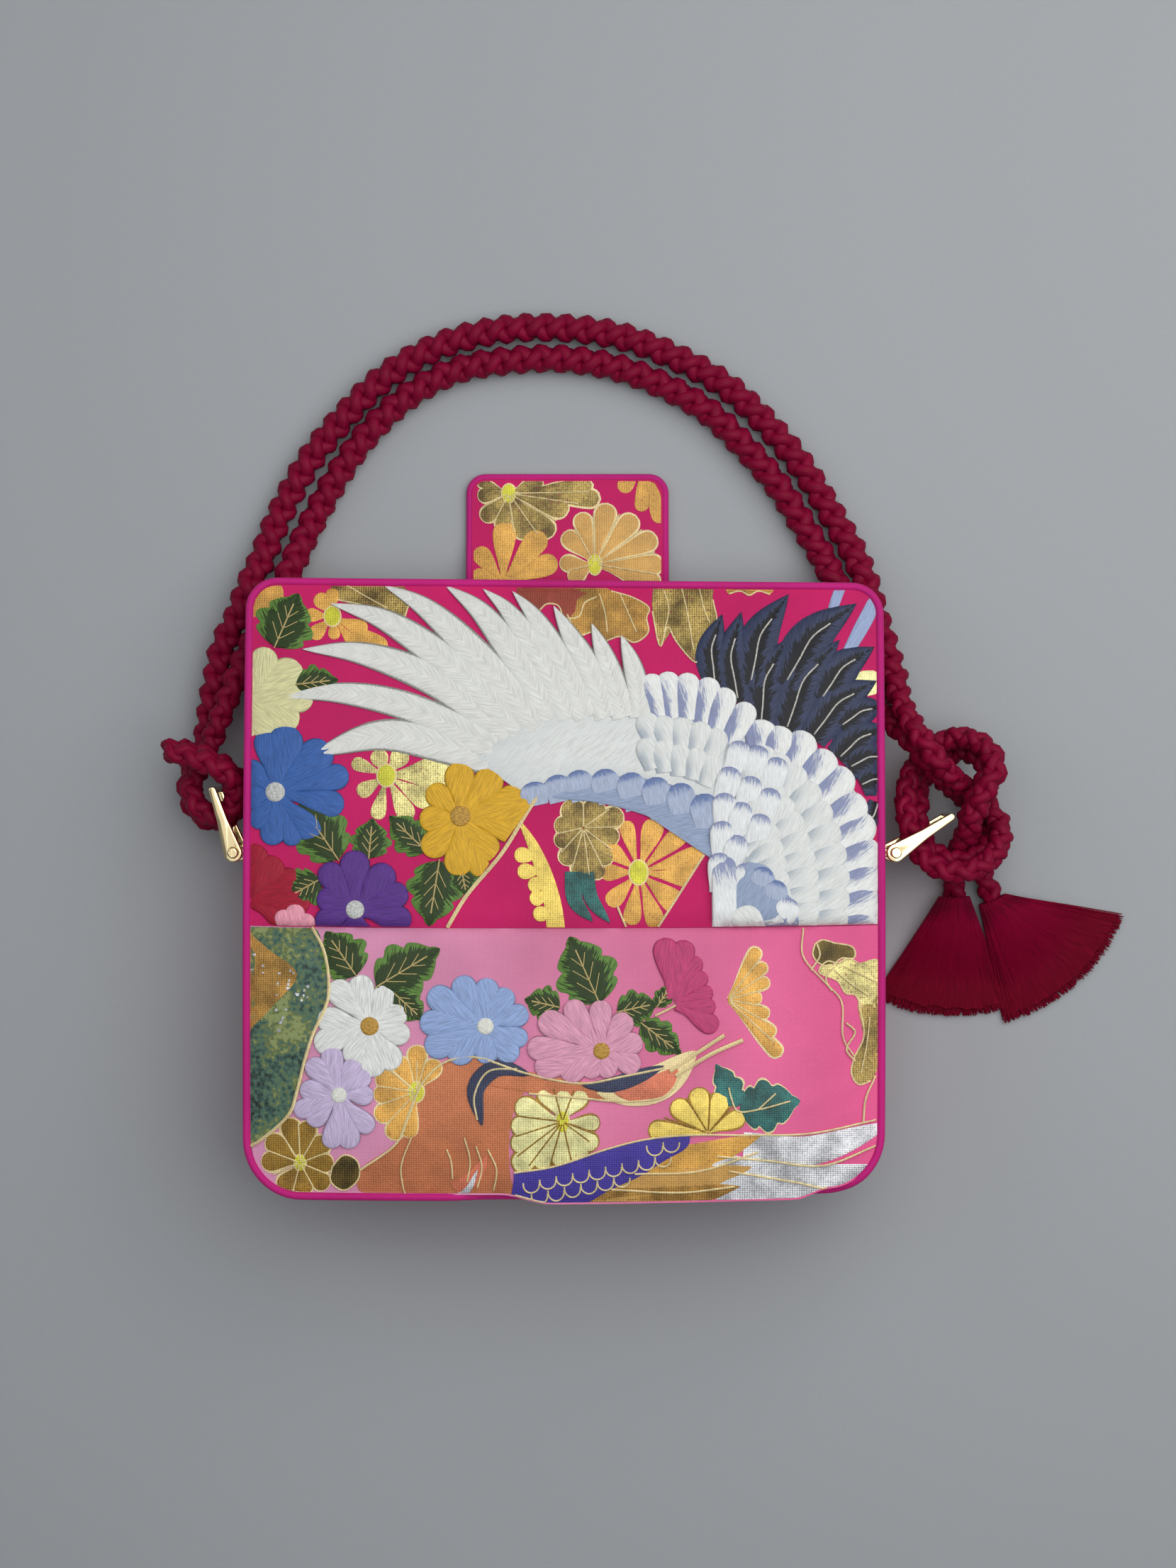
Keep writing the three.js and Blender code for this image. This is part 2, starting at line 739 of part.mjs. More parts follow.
// A loft through round-cornered sections, each with a centre, a direction across and two half sizes
function loft(sections, sides) {
  const positions = [];
  const index = [];
  sections.forEach(({ centre, across, half_across, half_up }) => {
    for (let k = 0; k < sides; k += 1) {
      const a = (2 * Math.PI * (k + 0.5)) / sides;
      const c = Math.cos(a) * half_across;
      positions.push(centre[0] + across[0] * c, centre[1] + across[1] * c, centre[2] + Math.sin(a) * half_up);
    }
  });
  for (let i = 0; i + 1 < sections.length; i += 1) {
    for (let k = 0; k < sides; k += 1) {
      const turn = (k + 1) % sides;
      const a = i * sides + k;
      const b = i * sides + turn;
      const c = (i + 1) * sides + turn;
      const d = (i + 1) * sides + k;
      index.push(a, b, c, a, c, d);
    }
  }
  const end = (sections.length - 1) * sides;
  for (let k = 1; k + 1 < sides; k += 1) {
    index.push(0, k + 1, k);
    index.push(end, end + k, end + k + 1);
  }
  return finished(positions, index);
}

// Sections of a tassel's bound head: shares of its length, and of its radius across and upright
const HEAD_SECTIONS = [
  { along: 0, wide: 0.92, tall: 0.92 },
  { along: 0.5, wide: 1, tall: 1 },
  { along: 1, wide: 1.08, tall: 1 },
  { along: 1.6, wide: 1.15, tall: 0.9 },
];

// Places of a lock's sections along it, and how it starts along the head before it fans out
const LOCK_SECTIONS = [0.1, 0.35, 0.65, 1];
const lock_start = 0.4;
const lock_straight_share = 0.5;
const lock_follows_head = 0.7;
const lock_overlap = 0.62;
const short_lock = 0.97;
const odd_lock_lift = 0.25;

// A tassel lying on the surface: a bound head and locks that fan out between two directions
function tassel(neck, toward, from_angle, to_angle, length, locks) {
  const [nx, ny] = neck;
  const head_z = tassel_neck_diameter / 2 + tassel_lift;
  const spread = THREE.MathUtils.degToRad(to_angle - from_angle) / locks;
  const head_radius = tassel_neck_diameter / 2;
  const across = [-toward[1], toward[0]];
  const head = loft(
    HEAD_SECTIONS.map(({ along, wide, tall }) => ({
      centre: [nx + toward[0] * neck_length * along, ny + toward[1] * neck_length * along, head_z],
      across,
      half_across: head_radius * wide,
      half_up: head_radius * tall,
    })),
    10,
  );
  const pieces = [head];
  for (let k = 0; k < locks; k += 1) {
    const angle = THREE.MathUtils.degToRad(mix(from_angle, to_angle, k / (locks - 1)));
    const out = [Math.cos(angle), Math.sin(angle)];
    const aside = [-out[1], out[0]];
    const odd = k % 2;
    const reach = length * (odd ? short_lock : 1);
    const sections = LOCK_SECTIONS.map((t) => {
      const r = mix(neck_length * lock_start, reach, t);
      const half_up = mix(tassel_lock_thickness, tassel_end_thickness, t) / 2;
      const bend = lock_follows_head * (1 - smooth(0, lock_straight_share, t));
      const dx = mix(out[0], toward[0], bend);
      const dy = mix(out[1], toward[1], bend);
      return {
        centre: [nx + dx * r, ny + dy * r, half_up + tassel_lift + odd * odd_lock_lift],
        across: aside,
        half_across: Math.max(tassel_least_half_width, r * spread * lock_overlap),
        half_up,
      };
    });
    pieces.push(loft(sections, 6));
  }
  return shapeOf(joined(pieces));
}

const group = new THREE.Group();

function place(name, geometry, look, parent = group) {
  const mesh = new THREE.Mesh(geometry, look);
  mesh.name = name;
  parent.add(mesh);
  return mesh;
}

const upper_cloth = material(COLOURS.magenta, 0.6, 0);
const lower_cloth = material(COLOURS.pink, 0.6, 0);
const piping_cloth = material(COLOURS.piping, 0.55, 0);
const brocade = material(COLOURS.brocade, 0.5, 0.2);
const braid = material(COLOURS.crimson, 0.7, 0);
const fringe = material(COLOURS.tassel, 0.75, 0);
const gilt = material(COLOURS.gold, 0.3, 1);

place('front_upper', upperPanel(), upper_cloth);
place('front_lower', lowerPanel(), lower_cloth);
place('front_piping', frontPiping(), piping_cloth);
place('back_panel', backPanel(), upper_cloth);
place('back_piping', backPiping(), piping_cloth);
place('gusset', gusset(), upper_cloth);
place('tab', tab(), brocade);
place('tab_piping', tabPiping(), piping_cloth);

for (const [name, side, angle] of [
  ['left', -1, left_bow_angle],
  ['right', 1, right_bow_angle],
]) {
  const { x, y } = pivot(side);
  place(`${name}_lug`, lug(side), gilt);
  const turned = place(`${name}_bow`, bow(), gilt);
  turned.position.set(x, y, 0);
  turned.rotation.z = THREE.MathUtils.degToRad(angle);
  const front = place(`${name}_screw_front`, screw(), gilt);
  front.position.set(x, y, bow_high + bow_leg_thickness + running_gap);
  const back = place(`${name}_screw_back`, screw(), gilt);
  back.position.set(x, y, bow_low - bow_leg_thickness - running_gap);
  back.rotation.x = Math.PI;
}

const total = lengths[sample_count];
const outer_from = lengthAtPoint(firstPointOf(1));
const outer_to = lengthAtPoint(firstPointOf(2));
const stub = lengthAtPoint(firstPointOf(3));
const inner_from = lengthAtPoint(firstPointOf(5));
const inner_to = lengthAtPoint(firstPointOf(6));

place(
  'right_knot',
  knot([0, outer_from - end_gap], [inner_to + end_gap, total]),
  braid,
);
place('handle_outer', cordTube(outer_from, outer_to, cord_diameter, handle_pitch), braid);
place('left_knot', knot([outer_to + end_gap, stub + 2], [stub - 2, inner_from - end_gap]), braid);
place('handle_inner', cordTube(inner_from, inner_to, cord_diameter, handle_pitch), braid);

// Where a tassel's head meets an end of the cord, and the way it points there
function neckAt(end, before) {
  const way = [end.x - before.x, end.y - before.y];
  const size = Math.hypot(...way);
  const toward = way.map((v) => v / size);
  return [[end.x + toward[0] * end_gap, end.y + toward[1] * end_gap], toward];
}

const left_end = neckAt(route_points[0], cord_line.getPointAt(2 / total));
const right_end = neckAt(route_points[route_points.length - 1], cord_line.getPointAt(1 - 2 / total));
place('tassel_left', tassel(...left_end, -125, -68, left_tassel_length, 7), fringe);
place('tassel_right', tassel(...right_end, -72, -8, right_tassel_length, 7), fringe);

export default group;
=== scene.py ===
"""Dresses a square kimono cloth handbag with a braided cord handle, lying on its back.

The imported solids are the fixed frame. Object +X is the bag's right side, +Y its top and +Z up, seen from
above. Meshes are worked out in millimetres and written in metres.
"""

import math
import random

import bmesh
import bpy
from mathutils import Matrix, Vector, noise


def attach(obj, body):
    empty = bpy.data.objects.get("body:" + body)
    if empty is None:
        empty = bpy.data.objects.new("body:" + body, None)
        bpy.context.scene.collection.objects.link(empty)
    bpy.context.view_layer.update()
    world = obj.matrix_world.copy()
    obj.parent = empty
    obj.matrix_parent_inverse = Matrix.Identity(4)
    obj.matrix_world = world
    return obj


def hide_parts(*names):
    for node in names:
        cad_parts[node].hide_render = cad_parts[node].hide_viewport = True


bl_info = {
    "name": "Kimono cloth handbag",
    "version": (1, 0, 0),
    "blender": (4, 5, 0),
    "location": "3D View > Sidebar > Handbag",
    "description": "Dresses the solids of a handbag in embroidered silk, gold brocade, braided cord and gilt",
    "category": "Object",
}

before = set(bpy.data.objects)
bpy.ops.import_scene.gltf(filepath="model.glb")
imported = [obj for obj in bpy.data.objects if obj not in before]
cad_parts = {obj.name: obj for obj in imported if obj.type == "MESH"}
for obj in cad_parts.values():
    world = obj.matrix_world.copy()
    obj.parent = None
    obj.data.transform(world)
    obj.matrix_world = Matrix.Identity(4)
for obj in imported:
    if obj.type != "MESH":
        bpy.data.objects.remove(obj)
MM = 0.001
BAG = "bag"


def linear(hex_colour):
    """Turns an sRGB hex value into linear red, green, blue and alpha."""
    channels = [int(hex_colour[i : i + 2], 16) / 255 for i in (0, 2, 4)]
    curve = [c / 12.92 if c <= 0.04045 else ((c + 0.055) / 1.055) ** 2.4 for c in channels]
    return (*curve, 1.0)


def clamp01(value):
    return min(1.0, max(0.0, value))


def mix(a, b, t):
    return a + (b - a) * t


def smooth(low, high, value):
    t = clamp01((value - low) / (high - low))
    return t * t * (3 - 2 * t)


# The cord's middle line in millimetres, from the left tassel through both knots to the right tassel
TAIL_TO_OUTER_RIGHT = [
    (138, -6, 5.2), (137.9, -1.5, 5.5), (137.5, 6, 10), (139, 14.5, 21), (141.5, 23.5, 31.5),
    (145, 32, 34.5), (148.5, 38.5, 33), (147, 46, 27), (139, 50.5, 19), (130, 48, 15.5),
    (122.5, 40, 16), (119, 30, 22), (119.5, 19.5, 28), (123, 10.5, 28.4), (131, 4.5, 30),
    (140.5, 4.5, 30), (149, 9.5, 26), (152.5, 17, 20), (150.5, 24, 15.5), (144, 30, 16),
    (136.5, 35, 24), (130, 40.5, 33), (124.5, 48, 34.5), (120, 55.5, 30),
]
OUTER_HANDLE = [
    (117, 63.5, 23), (115, 73, 16.5), (112.5, 83, 13), (109.5, 93, 12), (106, 105.5, 11.4),
    (102, 116.5, 7), (96, 127.5, 5.2), (85, 145.5, 5.2), (72, 161.5, 5.2), (57, 175.5, 5.2),
    (39.5, 185.5, 5.2), (20, 193, 5.2), (-0.5, 196, 5.2), (-21.5, 195.5, 5.2), (-42.5, 190.5, 5.2),
    (-61.5, 180.5, 5.2), (-77.5, 165.5, 5.2), (-91, 148.5, 5.2), (-101.5, 129, 5.2), (-107.5, 113, 8),
    (-111.5, 103.5, 11.5), (-115.5, 93, 11.5), (-120.4, 83, 11.3), (-122.5, 73, 11.5), (-124.5, 63.5, 11),
]
OUTER_LEFT_TO_STUB = [
    (-126.5, 54.5, 10), (-128.5, 46, 9.5), (-131, 39, 12), (-132, 32, 17), (-129, 25.5, 20),
    (-123, 21.5, 20.6), (-116, 24, 20.6), (-112.8, 30.5, 22.8), (-114.5, 36.8, 26.8), (-119, 41, 29.8),
    (-125, 44, 30.4), (-131, 45.6, 30.2),
]
STUB_TIP = [(-136, 45.8, 34.5)]
STUB_TO_INNER_LEFT = [
    (-130.5, 44.2, 38.6), (-124, 42, 39.2), (-118.5, 39.5, 38.6), (-114.6, 36, 35.4), (-113.2, 31, 30.6),
    (-115.6, 25.8, 28.3), (-121.5, 23.2, 28), (-127, 26.5, 27.6), (-129.8, 32.5, 25), (-128, 39.5, 21),
    (-124.5, 47, 18.5), (-121, 55.5, 20.5),
]
INNER_HANDLE = [
    (-117.5, 64.5, 20.5), (-114, 73, 18), (-110.2, 82, 15.8), (-106.5, 90, 14), (-102, 98, 13),
    (-98, 107, 11.6), (-94.5, 116, 8.3), (-90.5, 125.5, 5.2), (-81, 143, 5.2), (-70, 158.5, 5.2),
    (-55.5, 172, 5.2), (-38.5, 181, 5.2), (-19, 184.5, 5.2), (-0.5, 185, 5.2), (18, 182, 5.2),
    (35, 175.5, 5.2), (50.5, 166.5, 5.2), (63.5, 154, 5.2), (75.5, 140, 5.2), (86, 123.5, 5.2),
    (91.5, 114, 7), (95, 105.5, 11.6), (98.5, 95.5, 12.3), (101.8, 85.5, 12.5), (104.6, 75.5, 11.8),
    (108.8, 65.5, 12.5),
]
INNER_RIGHT_TO_TAIL = [
    (113.5, 57, 17), (120, 50, 24), (125.5, 43, 25.5), (131, 37, 23), (137, 32.5, 14.5),
    (143.5, 27.5, 8.2), (148.5, 22.5, 8), (150.5, 17, 12), (147, 11.5, 18), (140, 7.5, 21.8),
    (133, 8, 22), (126, 12.5, 21.4), (123, 19.5, 21.6), (123.4, 26, 18.8), (124, 32, 12.8), (127, 38, 8.8),
    (132.5, 43.5, 7.8), (140.5, 46, 10.5), (145.8, 43, 17.5), (147, 37.5, 24.5), (144, 31.5, 26.3),
    (141, 24.5, 24.5), (142.5, 16, 15.5), (145.6, 8.5, 8), (148, 2.5, 5.6), (150, -2.5, 5.2),
    (151.8, -7, 5.2),
]
ROUTE = [
    TAIL_TO_OUTER_RIGHT, OUTER_HANDLE, OUTER_LEFT_TO_STUB, STUB_TIP, STUB_TO_INNER_LEFT, INNER_HANDLE,
    INNER_RIGHT_TO_TAIL,
]
HANDLE_RUNS = (1, 5)


# What is sewn and woven on the front. Places are millimetres across and up, as they show from above
# on the level of the bows' upper face. A petal is the place of its tip and its width.
FLOWERS = {
    "royal_blue": ((-98.3, 31.6), 3.4, "silver", 1, None, [
        (-102.5, 52.2, 7.8), (-93.7, 54.2, 12), (-80, 47.8, 12), (-73.3, 37.8, 8.8), (-74.9, 26.6, 9),
        (-84, 16, 9), (-91.5, 13.4, 7), (-99.5, 13.4, 8.5), (-105.8, 19.4, 8), (-110, 29, 8), (-110, 41, 9),
    ]),
    "mustard": ((-35.3, 23.4), 3.6, "gold", 2, (-37, -9, -12, 26), [
        (-35.7, 41.8, 10), (-22.5, 39, 10), (-12.5, 31, 9.5), (-11, 25, 8.5), (-13, 17, 9), (-23.7, 9, 9.5),
        (-27.7, 3, 7), (-36.1, 3, 9.8), (-47.3, 10.2, 9.6), (-49.3, 21.8, 9), (-46.1, 33.4, 8.4),
    ]),
    "purple": ((-71.1, -8.4), 3.2, "silver", 3, None, [
        (-71.3, 11.8, 10), (-59, 6.4, 9.8), (-53.2, -2, 9), (-52, -13, 9.5), (-82, 7, 9), (-84, -3.5, 8.6),
        (-84.5, -14, 9), (-66, -24, 9), (-76, -24, 9),
    ]),
    "cream": ((-108, 62.6), 0, "silver", 0, None, [
        (-105.5, 78, 8), (-100.4, 80.6, 9.6), (-89.5, 74.6, 12), (-85.3, 64, 10), (-90.5, 54.6, 11),
        (-100, 51, 9.4), (-106.5, 50.6, 8),
    ]),
    "white": ((-66.2, -48.1), 3.2, "gold", 1, None, [
        (-70.1, -30.7, 8.8), (-59.7, -34.4, 8), (-53.5, -42.4, 8.2), (-52.5, -51.7, 8), (-57, -62.5, 8.8),
        (-64.7, -65.5, 8.6), (-73.1, -61, 9), (-85, -55, 9.4), (-84, -45.5, 9.2), (-79.3, -33.2, 9),
    ]),
    "light_blue": ((-26.8, -48.1), 2.9, "silk", 1, None, [
        (-36.2, -31.3, 8.6), (-26.2, -31.7, 8.2), (-18.5, -35.5, 8), (-12.2, -43.2, 7.8), (-12.5, -53.2, 7),
        (-16.5, -59.8, 8.2), (-26.2, -61, 8.5), (-38.5, -60.2, 9.2), (-47.3, -56.3, 9.6), (-49.3, -46.7, 8.8),
        (-46.2, -36.3, 9.2),
    ]),
    "lilac": ((-76.6, -71.5), 2.7, "silk", 2, None, [
        (-79.7, -54.8, 7.6), (-87, -59.4, 7.4), (-70.8, -59.4, 6.8), (-66.2, -64, 6.6), (-64.8, -71.7, 7),
        (-65.4, -84, 7), (-72.4, -89.8, 7.8), (-79.5, -89.8, 7), (-87, -81.5, 7.4), (-92, -77.5, 6.8),
        (-90, -69.4, 7.4),
    ]),
    "pink": ((12.7, -56.5), 2.9, "gold", 2, None, [
        (1.4, -39.5, 7.8), (12.3, -39.2, 7.8), (22.1, -44.1, 8), (26.7, -53.1, 7.8), (25.9, -62.2, 8),
        (15.7, -65.6, 7.6), (7.4, -65.6, 7.4), (-0.9, -65.6, 8.6), (-10, -63.2, 8.8), (-12.7, -55.5, 8.4),
        (-8.5, -44.8, 9.2),
    ]),
    "crimson": ((-108, -5), 0, "silk", 0, None, [
        (-105, 14, 10), (-97, 9, 10), (-90, 3, 9.5), (-86.5, -6, 9), (-90, -15, 9),
    ]),
    "shell_pink": ((-92, -22), 0, "silk", 2, None, [(-96.5, -8.5, 6), (-91.5, -6.5, 6.8), (-86.5, -10, 6)]),
    "rose": ((37, -40.5), 0, "silk", 1, None, [
        (34, -18, 8.6), (41.4, -18.8, 7.6), (45.6, -24.4, 6.2), (48.3, -30.1, 5.6), (50.6, -36.1, 5.6),
        (51.6, -41.8, 6), (52.3, -49, 7),
    ]),
}
THREADS = {
    "royal_blue": "3a64ac", "mustard": "dcaa26", "purple": "582e88", "cream": "dedaa6", "white": "e3e5e2",
    "light_blue": "93aad8", "lilac": "c8b8da", "pink": "dd9cb6", "rose": "c03f74", "crimson": "a40c2e",
    "shell_pink": "f0a0b4",
}
# Brocade flowers: look, pale outline, middle, the boss's half width and height, level, a cut line, petals
WOVEN_FLOWERS = [
    ("orange_gold", False, (-78.9, 91.4), (2.6, 3.2), 0, None, [
        (-84.1, 99, 6.4), (-88.3, 92, 5.4), (-86.1, 84, 6), (-78.1, 83.5, 4.8), (-67, 86.5, 6), (-60.5, 80, 7),
        (-78.9, 101, 5.4), (-70, 80, 5),
    ]),
    ("pale_gold", False, (-60.5, 37.2), (3, 3.6), 0, None, [
        (-72.3, 42, 5.6), (-70.3, 30.8, 6.2), (-63.9, 22.2, 6), (-52.5, 22, 7.4), (-45, 27.5, 8), (-38, 35.5, 9),
        (-38, 43, 7), (-54.1, 46, 7.4), (-64, 46, 7),
    ]),
    ("orange_gold", False, (25.3, 4.2), (3, 4), 0, (32.1, -14.2, 47.3, 9.8), [
        (20.7, 21.8, 6), (31.3, 22.4, 8.4), (41, 18.6, 7.6), (47.5, 10.4, 8), (46.5, 2, 8), (40, -8, 9),
        (32, -15, 7.4), (22.7, -13.8, 7), (15, -7, 7), (12.2, 4.2, 6.6), (14.1, 13.4, 6.6),
    ]),
    ("dark_gold", True, (6.5, 19.4), (0, 0), 0, None, [
        (-3.3, 20.6, 6.6), (-2.9, 13.8, 6.4), (-0.3, 7, 6.6), (5.3, 2.4, 7), (12, 2, 6.4), (15.6, 7.2, 6.6),
        (18.5, 15.5, 7), (20, 24, 8), (12.1, 28.5, 9), (0.9, 28.5, 9),
    ]),
    ("orange_gold", True, (-50.4, -70.5), (2.6, 3.4), 0, None, [
        (-50, -54.8, 7), (-43, -60, 6.6), (-57, -59, 6.4), (-63.9, -65.2, 7), (-64.7, -71.5, 6.6),
        (-64, -79.5, 7), (-59, -86.4, 7), (-53, -86, 6),
    ]),
    ("olive_gold", True, (-89.9, -94.6), (1.9, 2.7), 0, None, [
        (-94, -79.6, 7.4), (-87, -80.6, 7.2), (-80.4, -86.5, 7.6), (-78.6, -94.8, 7), (-80.5, -103, 7),
        (-88.5, -106, 7), (-96.5, -104, 7), (-103, -94, 7.4), (-101, -86, 7.4),
    ]),
    ("cream_gold", True, (-0.6, -80.6), (2.1, 3.6), 1, None, [
        (-7.5, -68.6, 7), (0, -68.6, 6.6), (7, -70.3, 6.4), (-16.4, -74.6, 8), (-17.9, -82.5, 7.6),
        (-17.6, -89.5, 7.6), (-16.6, -97, 8.4), (-9, -96.4, 7.6), (-1, -96, 7.6), (6.5, -94.6, 7.4),
        (12, -81.1, 5.8), (11, -89.4, 7),
    ]),
    ("yellow_gold", True, (49, -84.5), (0, 0), 0, None, [
        (28.9, -83.5, 7), (37, -74.1, 7.2), (45.2, -69.3, 7.2), (54.4, -70.5, 7.2), (61.2, -78.4, 6.4),
    ]),
    ("orange_gold", True, (55.6, -39.2), (0, 0), 0, None, [
        (66, -21.6, 4.8), (68.6, -27, 4.4), (69.7, -32.6, 4.4), (67.2, -38.4, 4.6), (69.7, -44.4, 4.6),
        (71.6, -51, 4.8), (73.5, -58, 5.4),
    ]),
]
TAB_FLOWERS = [
    ("dark_gold", True, (-20, 137.5), (2.4, 3.2), 0, None, [
        (-31, 136.7, 5.8), (-29.3, 128, 6.4), (-22.5, 124, 6.4), (-13.5, 121.4, 8), (-4.6, 122.5, 8),
        (1, 131.5, 8.4), (12, 135.5, 7), (9.5, 140.6, 6.6), (-8.1, 142.4, 6), (-31, 142, 4),
    ]),
    ("orange_gold", False, (-22, 105.5), (0, 0), 1, None, [
        (-31.6, 118, 7.6), (-21.5, 127.4, 9.4), (-7.8, 123.6, 9.6), (-2.8, 113.6, 9), (-33.5, 108, 8),
    ]),
    ("peach_gold", True, (10.5, 112.1), (2.2, 3.6), 1, None, [
        (-0.3, 123.4, 6.8), (5.5, 130.4, 6.8), (15, 133.6, 8), (24.8, 129.4, 7.8), (32.3, 121.8, 7.8),
        (34.6, 112, 7.6), (33.5, 104.6, 8), (-1.8, 112.6, 6.2), (1.5, 106.5, 6),
    ]),
    ("orange_gold", False, (27.5, 150), (0, 0), 0, None, [(19.8, 138, 6.6), (27.1, 131, 5.8), (34.4, 127, 7)]),
]
# Plain brocade shapes: look, pale outline, middle, outline
WOVEN_SHAPES = [
    ("orange_gold", False, (-101, 98), [(-107, 91), (-98, 93.5), (-95.5, 99), (-98, 104), (-107, 104)]),
    ("dark_gold", True, (-66, 99), [(-80, 104), (-77, 97), (-70, 95.5), (-62, 93), (-56, 88.5), (-53, 95), (-56, 104)]),
    ("brown_gold", True, (14, 94), [
        (2, 104), (1, 92), (5, 85), (10, 86), (13, 83), (19, 84.5), (24, 82.5), (28.6, 86), (28, 91), (29, 94),
        (24, 97.5), (16, 100), (12, 104),
    ]),
    ("red_brown", True, (-2, 100), [
        (-16, 104), (-16, 99), (-13, 95.4), (-9, 93.2), (-6, 95.6), (-2, 95), (0, 91), (5, 91.4), (7, 96),
        (11, 98), (10, 104),
    ]),
    ("dark_gold", True, (41, 93), [
        (30.4, 104), (30, 93), (32.8, 81), (35.2, 88), (38, 83), (45.2, 75.6), (46.6, 82), (48.6, 85.4),
        (51.8, 89), (50.6, 97), (50, 104),
    ]),
    ("brown_gold", True, (62, 101.5), [(54, 104), (56, 99), (60, 100), (63, 98.5), (66, 100), (70, 98.8), (72, 104)]),
    ("cream_gold", True, (103, 69), [(110, 66), (101, 64.5), (97, 71), (107, 72.5)]),
    ("moss", False, (-96, -48), [
        (-110, -14), (-85.5, -14), (-82, -21.7), (-80.2, -30.9), (-80.5, -39.4), (-85.5, -50.9),
        (-88.2, -59.4), (-90.9, -70.2), (-93.5, -77.9), (-103.6, -87.1), (-110, -92), (-110, -60),
    ]),
    ("copper", False, (-36, -84), [
        (-41.6, -60.9), (-34, -58.6), (-26, -59.2), (-17, -62.5), (-12, -68), (-16, -74), (-18.5, -84),
        (-18.5, -97.9), (-17, -109), (-35, -110), (-56, -109), (-70, -104), (-69.3, -97.1), (-57, -87.9),
        (-53.1, -79.4), (-48.5, -67.9),
    ]),
    ("olive", True, (-74.7, -98), [(-79, -96), (-75, -92), (-70.5, -94), (-70, -100), (-75, -104), (-79.5, -101)]),
    ("violet", False, (8, -99), [
        (-17, -98.3), (-3.9, -96.2), (8, -92.5), (15, -90.1), (28, -87), (42.5, -85.5), (42, -89), (34, -94),
        (26.3, -99), (14, -105), (4, -110), (-17, -110),
    ]),
    ("olive", True, (92, -23), [
        (85.4, -20.1), (87.8, -18.8), (91.9, -19.8), (98.4, -21.4), (98.8, -24.9), (94.3, -25), (90.7, -27.8),
        (86.6, -26.6), (84.6, -23.7),
    ]),
    ("dark_gold", True, (102.6, -54), [
        (107, -62.1), (104.3, -66.8), (100.2, -68), (97.8, -64.5), (98.6, -59.2), (102, -51.5), (100.2, -39.7),
        (107, -37.9),
    ]),
    ("pale_gold", True, (99, -31), [
        (107, -43.8), (101.4, -41.8), (98.8, -37.4), (95.8, -37), (93.1, -32.8), (86.6, -29.6), (89.5, -26),
        (93, -26.6), (96.6, -25), (100, -26.6), (107, -25.5),
    ]),
]
# Woven blades drawn out along a spine: look, width, spine
WOVEN_BLADES = [
    ("silver", 10, ((61, -90), (84, -90.5), (112, -81))), ("silver", 6.4, ((52, -105), (85, -106), (102, -103))),
    ("silver", 10.5, ((50, -97), (80, -100.5), (112, -96))),
    ("orange_gold", 11, ((16, -97), (42, -94), (67, -85.5))),
    ("peach_gold", 10, ((14, -103), (40, -101), (65, -96))), ("brown_gold", 10, ((6, -108), (34, -107), (60, -103))),
    ("copper", 6.5, ((-26, -64.5), (-10, -67.6), (8, -70.3), (34, -70))),
    ("yellow_gold", 5.6, ((-2.4, -22), (-4, -6), (-10, 12), (-16, 23))),
    ("teal", 5.4, ((3.3, 4.5), (3.6, -5), (9.7, -12.6))), ("teal", 4.8, ((7.3, 4), (9.4, -5), (15.6, -13))),
    ("red_gold", 5, ((-37, -104), (-31, -100), (-26, -92))),
]
# Woven shapes pointed at both ends: look, width, spine
WOVEN_LENSES = [
    ("line_gold", 12.4, ((11, -71), (25, -69.6), (34, -66.4), (45, -56.6))),
    ("red_gold", 9, ((17, -71), (26, -70), (33, -67.6), (39, -62))),
    ("navy_gold", 5.6, ((6, -68.4), (16, -68.2), (25, -65.4), (34, -61.6))),
    ("navy_gold", 6.4, ((-11, -64.8), (-23, -62.4), (-30, -69), (-28, -82))),
    ("silver", 2.2, ((-41, -109), (-33, -104), (-29.5, -97))),
]
IRIS_PETALS = ((-8, 9, -17, 10.6), (-7, 4.5, -16, 4.6), (-5.8, 0, -12.4, 0), (-5, -4, -11.8, -4.8), (-4, -8, -10.4, -11))
TEAL_LEAVES = ((59.5, -75.5, 51.6, -61, 9.6), (59.8, -76.5, 80.4, -73.6, 17))
